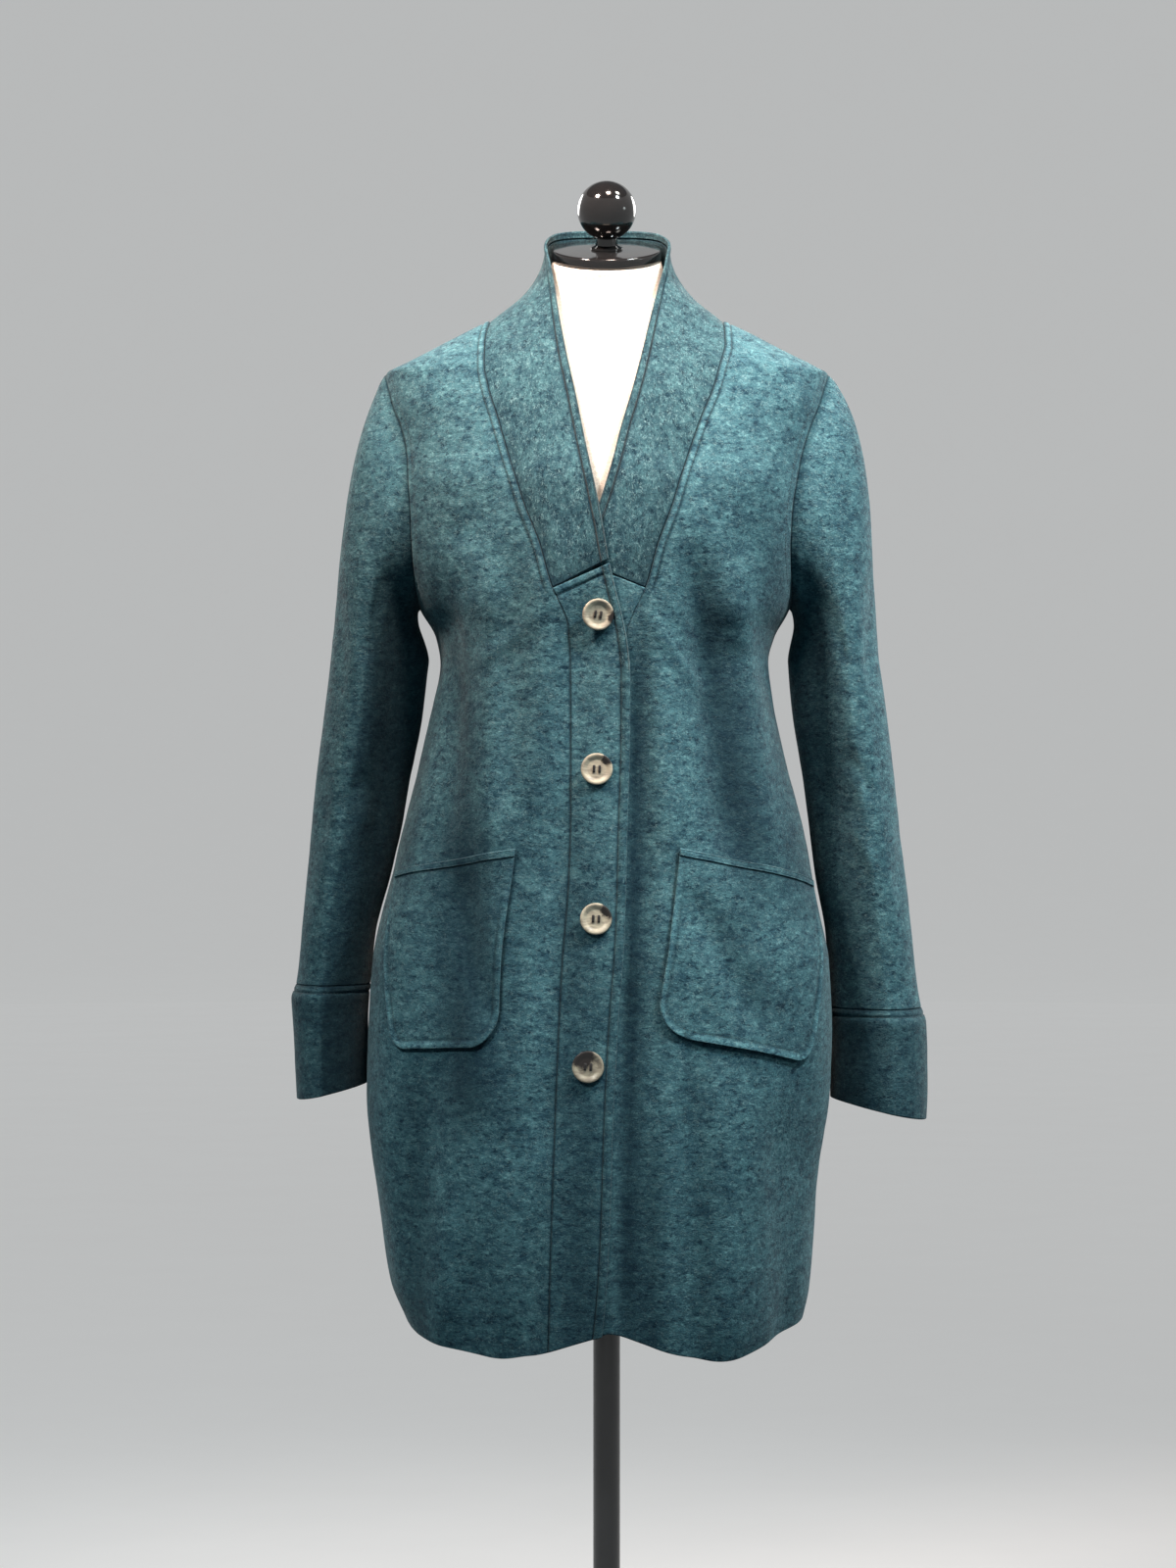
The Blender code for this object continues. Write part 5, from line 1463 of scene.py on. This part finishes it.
def fine_strip(node, strip, raised, finish, edges=(True, True), cell=CELL):
    """One strip of the front; edges says beside which of its two long edges its points are close."""
    shares = steps_across(STRIP_LENGTH)[0]
    across = np.linspace(0, 1, FOLD_COLUMNS)
    if node != "front_binding":
        widths = row_lengths(body(*strip_places(strip, shares, np.linspace(0, 1, 24))))
        across = steps_across(widths, cell, *edges)
    angle, z = strip_places(strip, shares, across)
    base, facing = on_body(angle, z)
    out = raised + body_relief(base, raised == 0)
    first, last = from_edges(base)
    # Painted shade and light beside the creases
    tone = painted_crease_tone(base)
    if node == "band_right":
        below = np.clip(base[-1:, :, 2] - z, 0, 1)
        out = out + stitched(below)
        tone = tone * seam_tone(first, 0.55) * seam_tone(last, 0.55) * stitch_tone(below)
    if node == "front_binding":
        out = out + FOLD_PUFF * np.sin(pi * across)[None, :]
        tone = tone * partly(seam_tone(first, 0.55), 0.12 + 0.88 * ramp(1.02, 1.16, z))
    return cloth(node, base, facing, out, finish, tone), facing


def fine_bands():
    """The right front's button band and its folded edge, and the left front's hidden band."""
    fold_z = BAND_TOP_SEAM_Z + (BAND_TOP_EDGE_Z - BAND_TOP_SEAM_Z) * 0.85

    def seam(z):
        return -SEAM_AT["right"](z)

    def fold(z):
        return EDGE_AT(z) - BINDING

    def underlap(z):
        return UNDERLAP_X + 0 * z

    band = (seam, fold, BAND_TOP_SEAM_Z, fold_z)
    points, facing = fine_strip("band_right", band, LAP, "across", (True, False), BAND_CELL)
    stitch_along(points[-1 - STITCH_STEP], facing[-1 - STITCH_STEP])
    fine_strip("front_binding", (fold, EDGE_AT, fold_z, BAND_TOP_EDGE_Z), LAP, "edge")
    hidden = (underlap, SEAM_AT["left"], BAND_TOP_EDGE_Z, BAND_TOP_SEAM_Z)
    fine_strip("band_left", hidden, 0.0, "across")


def fine_collar(side):
    length = neckline(side)[0][-1]
    run = (steps_across(length, first=False)[0] * length)[:, None]
    whole = collar(side, run, np.ones_like(run)) - collar(side, run, 0 * run)
    fold = 1 - BINDING / np.linalg.norm(whole, axis=-1)
    rough = np.linspace(0, 1, ROUGH_STEPS)[None, :] * fold
    widths = row_lengths(collar(side, np.broadcast_to(run, rough.shape), rough))
    bound = np.linspace(0, 1, FOLD_COLUMNS)[None, :]
    for name, across, finish in (
        ("collar", steps_across(widths) * fold, "collar"),
        ("neck_binding", fold + (1 - fold) * bound, "collar_edge"),
    ):
        runs = np.broadcast_to(run, across.shape)
        base, facing = collar(side, runs, across), collar_normals(side, runs, across)
        facing[0] = unit(facing[0] * (0, 1, 1))
        lies = COLLAR_AT["lies"](runs)
        out = body_relief(base) * lies + unevenness(base) * (1 - lies)
        if side == "right":
            out = out + lap(base[..., 0], base[..., 2])
        away, other = from_edges(base)
        if name == "collar":
            out = out - COLLAR_SINK * hill(away, 0.007)
            foot = from_ends(base)[1]
            low = 1 - ramp(1.18, 1.32, base[..., 2])
            tone = seam_tone(away, 0.75) * seam_tone(other, 0.55) * seam_tone(foot, 0.75)
            # Painted shade towards the collar's lower end
            tone = tone * (1 - 0.26 * hill(foot, 0.020))
            # Painted shadow beside the seam low on the collar, and painted light over its low part
            tone = tone * (1 - 0.40 * low * hill(away, 0.012)) * (1 + 0.24 * low)
        else:
            out = out + FOLD_PUFF * 0.7 * np.sin(pi * bound)
            tone = seam_tone(away, 0.6)
        cloth(f"{name}_{side}", base, facing, out, finish, tone)


def fine_sleeve(side):
    turn = np.linspace(0, 2 * pi, SLEEVE_COLUMNS, endpoint=False)
    rough = np.linspace(0, 1, ROUGH_STEPS)[:, None] + 0 * turn
    lengths = row_lengths(sleeve(side, turn + 0 * rough, rough).transpose(1, 0, 2))
    fall = BICEP_Z - CUFF_SEAM_Z[side]
    below = 1 + steps_across(fall, first=False)[0][1:, None] + 0 * turn
    run = np.concatenate([steps_across(lengths, last=False).T, below])
    turns = turn + 0 * run
    base, facing = sleeve(side, turns, run), sleeve_normals(side, turns, run)
    facing[0] = unit(body_normals(*armhole(side, turn)) + sleeve_start_normals(side, turn))
    facing[1] = unit(facing[0] + facing[2])
    facing[-1] = ring_normals(base)[-1]
    away, foot = from_ends(base)
    out = sleeve_relief(side, turns, base) * ramp(0, 0.03, away)
    out = out + SLEEVE_PUFF * hill(away, 0.006, 0.009)
    # Besides the seam lines: painted shadow just below the armhole seam, and painted shade on the
    # side that lies against the body
    tone = seam_tone(away, 0.55) * seam_tone(foot, 0.5) * (1 - 0.18 * hill(away, 0.008))
    tone = tone * under_arm(side, facing, base[..., 2])
    cloth(f"sleeve_{side}", base, facing, out, "across", tone, ring=True)


def fine_cuff(side):
    turn = np.linspace(0, 2 * pi, SLEEVE_COLUMNS, endpoint=False)
    height = CUFF_SEAM_Z[side] - CUFF_HEM_Z[side]
    down = steps_across(height, CUFF_CELL)[0][:, None] + 0 * turn
    turns = turn + 0 * down
    base = cuff(side, turns, down)
    facing = ring_normals(base)
    away = from_ends(base)[0]
    out = sleeve_relief(side, turns, base) + stitched(away)
    # The whole cuff is painted darker as shade, with painted shade on its side against the body
    tone = CUFF_PAINTED_SHADE[side] * seam_tone(away, 0.5) * stitch_tone(away)
    tone = tone * under_arm(side, facing, base[..., 2])
    points = cloth(f"cuff_{side}", base, facing, out, "across", tone, ring=True)
    stitch_along(closed(points)[STITCH_STEP], closed(facing)[STITCH_STEP])


def fine_pocket(side):
    fold = 1 - POCKET_BINDING / POCKET_HEIGHT
    outline = pocket_outline(side)
    rows = steps_across(POCKET_HEIGHT * fold, POCKET_CELL, last=False)[0] * fold
    foot = np.linspace(0, 1, 13)[1:-1] ** 2 * 0.006 / POCKET_HEIGHT
    rows = np.sort(np.concatenate([rows, foot]))
    for name, v, thick in (
        ("pocket", rows[:, None], WALL),
        ("pocket_binding", np.linspace(fold, 1, FOLD_COLUMNS)[:, None], WALL * 1.25),
    ):
        rough = np.broadcast_arrays(np.linspace(0, 1, ROUGH_STEPS)[None, :], v)
        widths = row_lengths(body(*pocket_places(side, *rough)))
        u, v = np.broadcast_arrays(steps_across(widths, POCKET_CELL), v)
        angle, z = pocket_places(side, u, v)
        base, facing = on_body(angle, z)
        away = nearest(base, outline)
        low = 1 - ramp(0.45, 0.90, v)
        out = LAYER_GAP + thick + body_relief(base)
        if side == "right":
            out = out + lap(base[..., 0], z)
        out = out + POCKET_RIM * hill(away, POCKET_RIM_SPREAD) * (0.4 + 0.6 * low)
        out = out + 0.6 * stitched(away) * low
        out = out + POCKET_SAG * ramp(0.55, 1.0, v) * np.sin(pi * u) ** 2
        out = out + SOFT * 1.5 * noise(base + 0.3, 0.03, 11)
        tone = POCKET_PAINTED_LIGHT
        if name == "pocket":
            # A painted highlight along the rolled rim and painted shade in its topstitching's groove,
            # stronger towards the foot
            rim = 0.34 * hill(away, 0.0024, 0.0024) - 0.42 * hill(away, 0.0015, 0.0062)
            tone = 1 + rim * (0.30 + 0.70 * low)
            # Painted shadow just under the binding's edge
            tone = tone * (1 - 0.50 * hill((fold - v) * POCKET_HEIGHT, 0.0016))
        else:
            out = out + POCKET_FOLD_PUFF * np.sin(pi * (v - fold) / (1 - fold))
        # Painted shade beside the creases, as on the front
        tone = tone * painted_crease_tone(base)
        cloth(f"{name}_{side}", base, facing, out, "across", tone, thick=thick)
    sew_pocket(side, pocket_outline(side, fold))


def sew_pocket(side, line):
    """Topstitching inside a pocket's outline."""
    way = unit(np.gradient(line, axis=0))
    across = body_normals(front_angle(line[:, 0], line[:, 2]), line[:, 2])
    inward = unit(np.cross(way, across))
    inward = inward * np.sign(((line.mean(axis=0) - line) * inward).sum(axis=-1, keepdims=True))
    line = line + inward * STITCH_LINE
    base, facing = on_body(front_angle(line[:, 0], line[:, 2]), line[:, 2])
    out = LAYER_GAP + WALL + body_relief(base) - GROOVE_DEPTH
    out = out + POCKET_RIM * hill(STITCH_LINE, POCKET_RIM_SPREAD)
    if side == "right":
        out = out + lap(base[:, 0], line[:, 2])
    stitch_along(base + facing * out[:, None], facing)


def button_disc(name, dish, finish):
    """A dished horn disc with four real holes."""
    profile = (
        (0.0, 0.0),
        (BUTTON_RADIUS * 0.80, 0.0),
        (BUTTON_RADIUS, BUTTON_HEIGHT * 0.45),
        (BUTTON_RADIUS * 0.98, BUTTON_HEIGHT * 0.85),
        (BUTTON_RADIUS * 0.90, BUTTON_HEIGHT),
        (BUTTON_RADIUS - BUTTON_RIM, BUTTON_HEIGHT * 0.92),
        (BUTTON_RADIUS * 0.60, dish),
        (BUTTON_RADIUS * 0.52, dish),
    )
    rim = rounded(profile, 0.0009, 4)
    inside = [(radius, dish) for radius in np.linspace(BUTTON_RADIUS * 0.52, 0.00002, DISH_RINGS)[1:]]
    radius, level = np.array([*rim, *inside]).T[..., None]
    turn = np.linspace(0, 2 * pi, BUTTON_SIDES, endpoint=False)
    x, y = radius * np.cos(turn), radius * np.sin(turn)
    z = level + 0 * x
    for hole_x in (-HOLE_X, HOLE_X):
        for hole_y in (-HOLE_Y, HOLE_Y):
            away = np.hypot(x - hole_x, y - hole_y)
            sunk = HOLE_DEPTH * (1 - ramp(HOLE_RADIUS * 0.7, HOLE_RADIUS * 1.25, away))
            z[len(rim) :] -= sunk[len(rim) :]
    return ring_mesh(name, np.stack([x, y, z], axis=-1), finish)


def button_thread(name, dish, finish):
    """Two bars of doubled thread through a button's holes."""
    way = np.linspace(-1, 1, 13)[:, None]
    a = 2 * pi * np.arange(BAR_SIDES) / BAR_SIDES
    rise = dish + BAR_RISE * np.sqrt(np.clip(1 - way**4, 0, 1)) - BAR_DIP * np.abs(way) ** 6
    y = way * (HOLE_Y + BAR_REACH) + 0 * a
    bars = []
    for hole in (-HOLE_X, HOLE_X):
        for strand in (-BAR_APART, BAR_APART):
            x = hole + strand + BAR_RADIUS * np.cos(a) + 0 * y
            bars.append(np.stack([x, y, rise + BAR_RADIUS * np.sin(a)], axis=-1))
    index = np.arange(y.size).reshape(y.shape)
    quads = [grid_quads(closed(index + i * y.size)) for i in range(len(bars))]
    return mesh_object(name, np.array(bars).reshape(-1, 3), np.concatenate(quads), finish)


def fine_button(number, x, z, looks):
    """A horn button, turned and tipped on its thread, with the thread that sews it on."""
    *patch, spin, tip = looks
    angle, height = front_angle(np.array([x]), z), np.array([z])
    seat, facing = on_body(angle, height)
    lifted = LAP + 0.0005 + float(body_relief(seat)[0])
    facing = facing[0]
    up = unit(np.cross(facing, (1.0, 0.0, 0.0)))
    up = up * np.sign(up[2])
    side = np.cross(up, facing)
    across = side * cos(spin) + up * sin(spin)
    upward = up * cos(spin) - side * sin(spin)
    outward = facing * cos(tip) + across * sin(tip)
    place = np.eye(4)
    place[:3, 0] = across * cos(tip) - facing * sin(tip)
    place[:3, 1] = upward
    place[:3, 2] = outward
    place[:3, 3] = seat[0] + facing * (lifted + BUTTON_RADIUS * 0.6 * abs(sin(tip)))
    dish = BUTTON_HEIGHT * 0.52
    name = f"button_{number}"
    for made in (
        button_disc(f"{name}_horn", dish, horn(f"horn_{number}", *patch)),
        button_thread(f"{name}_thread", dish, FINISH["thread"]),
    ):
        made.matrix_world = Matrix(place.tolist())
        declare(made, name)


def fine_torso():
    """The form's knitted cover, with its seam down the front."""
    foot_z, top_z = FORM[1][0], FORM[-1][0]
    turn = np.linspace(0, 2 * pi, 120, endpoint=False)
    z, angle = np.meshgrid(np.linspace(foot_z, top_z, 150), turn, indexing="ij")
    x, y = superellipse(angle, FORM_AT["half"](z), FORM_AT["front"](z), FORM_AT["back"](z))
    up = np.clip((z - NECK_TILT_FROM_Z) / (NECK_TOP_Z - NECK_TILT_FROM_Z), 0, 1)
    y = y + 0.0006 * hill(x, 0.0012, -0.002) * (y < 0)
    points = np.stack([x, y, z + np.tan(NECK_TILT) * up * (y - NECK_CENTRE_Y)], axis=-1)
    low = points[:1] * (0.02, 0.02, 1)
    high = points[-1:] * 0.02 + points[-1:].mean(axis=1, keepdims=True) * 0.98
    points = np.concatenate([low, points, high])
    cover = ring_mesh("form_torso_cover", points, jersey("jersey_cover"))
    declare(cover, "form_torso")


def fine_stand():
    """The glossy neck cap and its ball, the pole and the base."""
    axis = np.array([0, -sin(NECK_TILT), cos(NECK_TILT)])
    neck = np.array([0, NECK_CENTRE_Y, NECK_TOP_Z])
    black = gloss("gloss_black_lacquer", (0.012, 0.011, 0.011), 0.10)
    low, high = TOUCH, TOUCH + CAP_THICKNESS
    profile = ((0, low), (CAP_RADIUS, low), (CAP_RADIUS, high), (0, high))
    made = lathe("form_neck_cap_lacquer", rounded(profile, 0.0026, 7), black, 120, neck, axis)
    declare(made, "form_neck_cap")
    foot = [(0, TOUCH), (0.015, TOUCH), (0.015, 0.0022), (0.0105, 0.0042)]
    start = np.arcsin(0.0105 / BALL_RADIUS)
    turns = np.linspace(pi - start * 0.9, 0, 40)
    ball = [(BALL_RADIUS * sin(a), BALL_HEIGHT + BALL_RADIUS * cos(a)) for a in turns[:-1]]
    ball.append((0, BALL_HEIGHT + BALL_RADIUS))
    made = lathe("form_finial_lacquer", foot + ball, black, 80, neck + axis * high, axis)
    declare(made, "form_finial")

    metal = gloss("stand_black_metal", (0.020, 0.020, 0.021), 0.38)
    top = BASE_THICKNESS
    profile = (
        (0, 0),
        (BASE_RADIUS - 0.002, 0),
        (BASE_RADIUS, 0.002),
        (BASE_RADIUS, top * 0.5),
        (BASE_RADIUS - 0.006, top * 0.85),
        (BASE_RADIUS - 0.030, top),
        (0, top),
    )
    made = lathe("stand_base_metal", rounded(profile, 0.004, 6), metal, 160)
    declare(made, "stand_base")
    reach = FORM[1][0] - TOUCH
    profile = (
        (0, top + TOUCH),
        (POLE_RADIUS * 2.2, top + TOUCH),
        (POLE_RADIUS * 2.2, top + 0.010),
        (POLE_RADIUS, top + 0.018),
        (POLE_RADIUS, reach),
        (0, reach),
    )
    made = lathe("stand_pole_metal", rounded(profile, 0.002, 5), metal, 64)
    declare(made, "stand_pole")


def placed(name, data, place):
    made = bpy.data.objects.new(name, data)
    made.location = place
    bpy.context.scene.collection.objects.link(made)
    return made


def studio():
    """A round pale floor that rises softly at its edge, the lamps and the camera."""
    scene = bpy.context.scene
    made, tree, shader = material(
        "studio_floor",
        Roughness=0.9,
        Emission_Color=(0.98, 0.98, 0.97, 1),
        Emission_Strength=FLOOR_GLOW,
    )
    shade = noise_node(tree, stretched(tree, (1.0, 1.0, 1.0)), 3, 3.0)
    tree.links.new(ramp_node(tree, shade, [(0.3, 0.36), (0.7, 0.39)]), shader.inputs["Base Color"])
    rise = FLOOR_RADIUS * 0.25
    profile = [(0, 0), (FLOOR_RADIUS * 0.5, 0), (FLOOR_RADIUS * 0.75, 0)]
    for a in np.linspace(0, pi / 2, 16):
        profile.append((FLOOR_RADIUS * 0.75 + rise * sin(a), rise * (1 - cos(a))))
    profile.append((FLOOR_RADIUS, WALL_TOP_Z))
    floor = lathe("floor", profile, made, 128, (0, 0, -0.0005))
    floor.data.flip_normals()
    floor.visible_diffuse = False

    scene.world = bpy.data.worlds.new("studio")
    scene.world.use_nodes = True
    sky = scene.world.node_tree.nodes["Background"]
    sky.inputs["Color"].default_value = (*WORLD_COLOUR, 1)
    sky.inputs["Strength"].default_value = WORLD_STRENGTH
    for name, x, y, z, to_x, to_y, to_z, size, spread, power, *colour in LIGHTS[1:]:
        lamp = bpy.data.lights.new(name, "AREA")
        lamp.shape = "DISK"
        lamp.size = size
        lamp.spread = radians(spread)
        lamp.energy = power
        lamp.color = colour
        aim = Vector((to_x - x, to_y - y, to_z - z))
        placed(name, lamp, (x, y, z)).rotation_euler = aim.to_track_quat("-Z", "Y").to_euler()
    lens = bpy.data.cameras.new("camera")
    lens.sensor_fit = "VERTICAL"
    lens.sensor_height = 36
    lens.lens = CAMERA_LENS
    scene.camera = placed("camera", lens, CAMERA_PLACE)
    scene.camera.rotation_euler = (pi / 2, 0, 0)
    scene.view_settings.view_transform = "Standard"


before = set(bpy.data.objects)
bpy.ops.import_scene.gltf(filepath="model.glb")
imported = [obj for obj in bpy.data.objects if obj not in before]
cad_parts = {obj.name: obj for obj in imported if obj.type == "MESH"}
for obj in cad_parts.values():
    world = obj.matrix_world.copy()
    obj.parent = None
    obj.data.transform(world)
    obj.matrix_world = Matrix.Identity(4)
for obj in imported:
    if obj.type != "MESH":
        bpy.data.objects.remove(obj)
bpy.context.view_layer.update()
FINISH["across"] = wool("wool_across", FLECKS_ACROSS)
# The front's binding and the collar get darker copies of the same wool, at 0.80, 0.64 and 0.58 of its
# colour: painted shade
FINISH["edge"] = wool("wool_edge", FLECKS_ACROSS, 0.80)
FINISH["collar"] = wool("wool_collar", FLECKS_UP, 0.64)
FINISH["collar_edge"] = wool("wool_collar_edge", FLECKS_UP, 0.58)
FINISH["stitches"] = thread("thread_teal", (0.020, 0.050, 0.062))
FINISH["thread"] = thread("thread_dark", (0.008, 0.007, 0.007))
fine_torso()
fine_stand()
fine_back()
fine_bands()
for side in ("right", "left"):
    fine_front(side)
    fine_collar(side)
    fine_sleeve(side)
    fine_cuff(side)
    fine_pocket(side)
for number, (place, looks) in enumerate(zip(BUTTONS[1:], HORN[1:]), 1):
    fine_button(number, *place, looks)
sewing = sew("topstitching", FINISH["stitches"])
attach(sewing, "root")
studio()
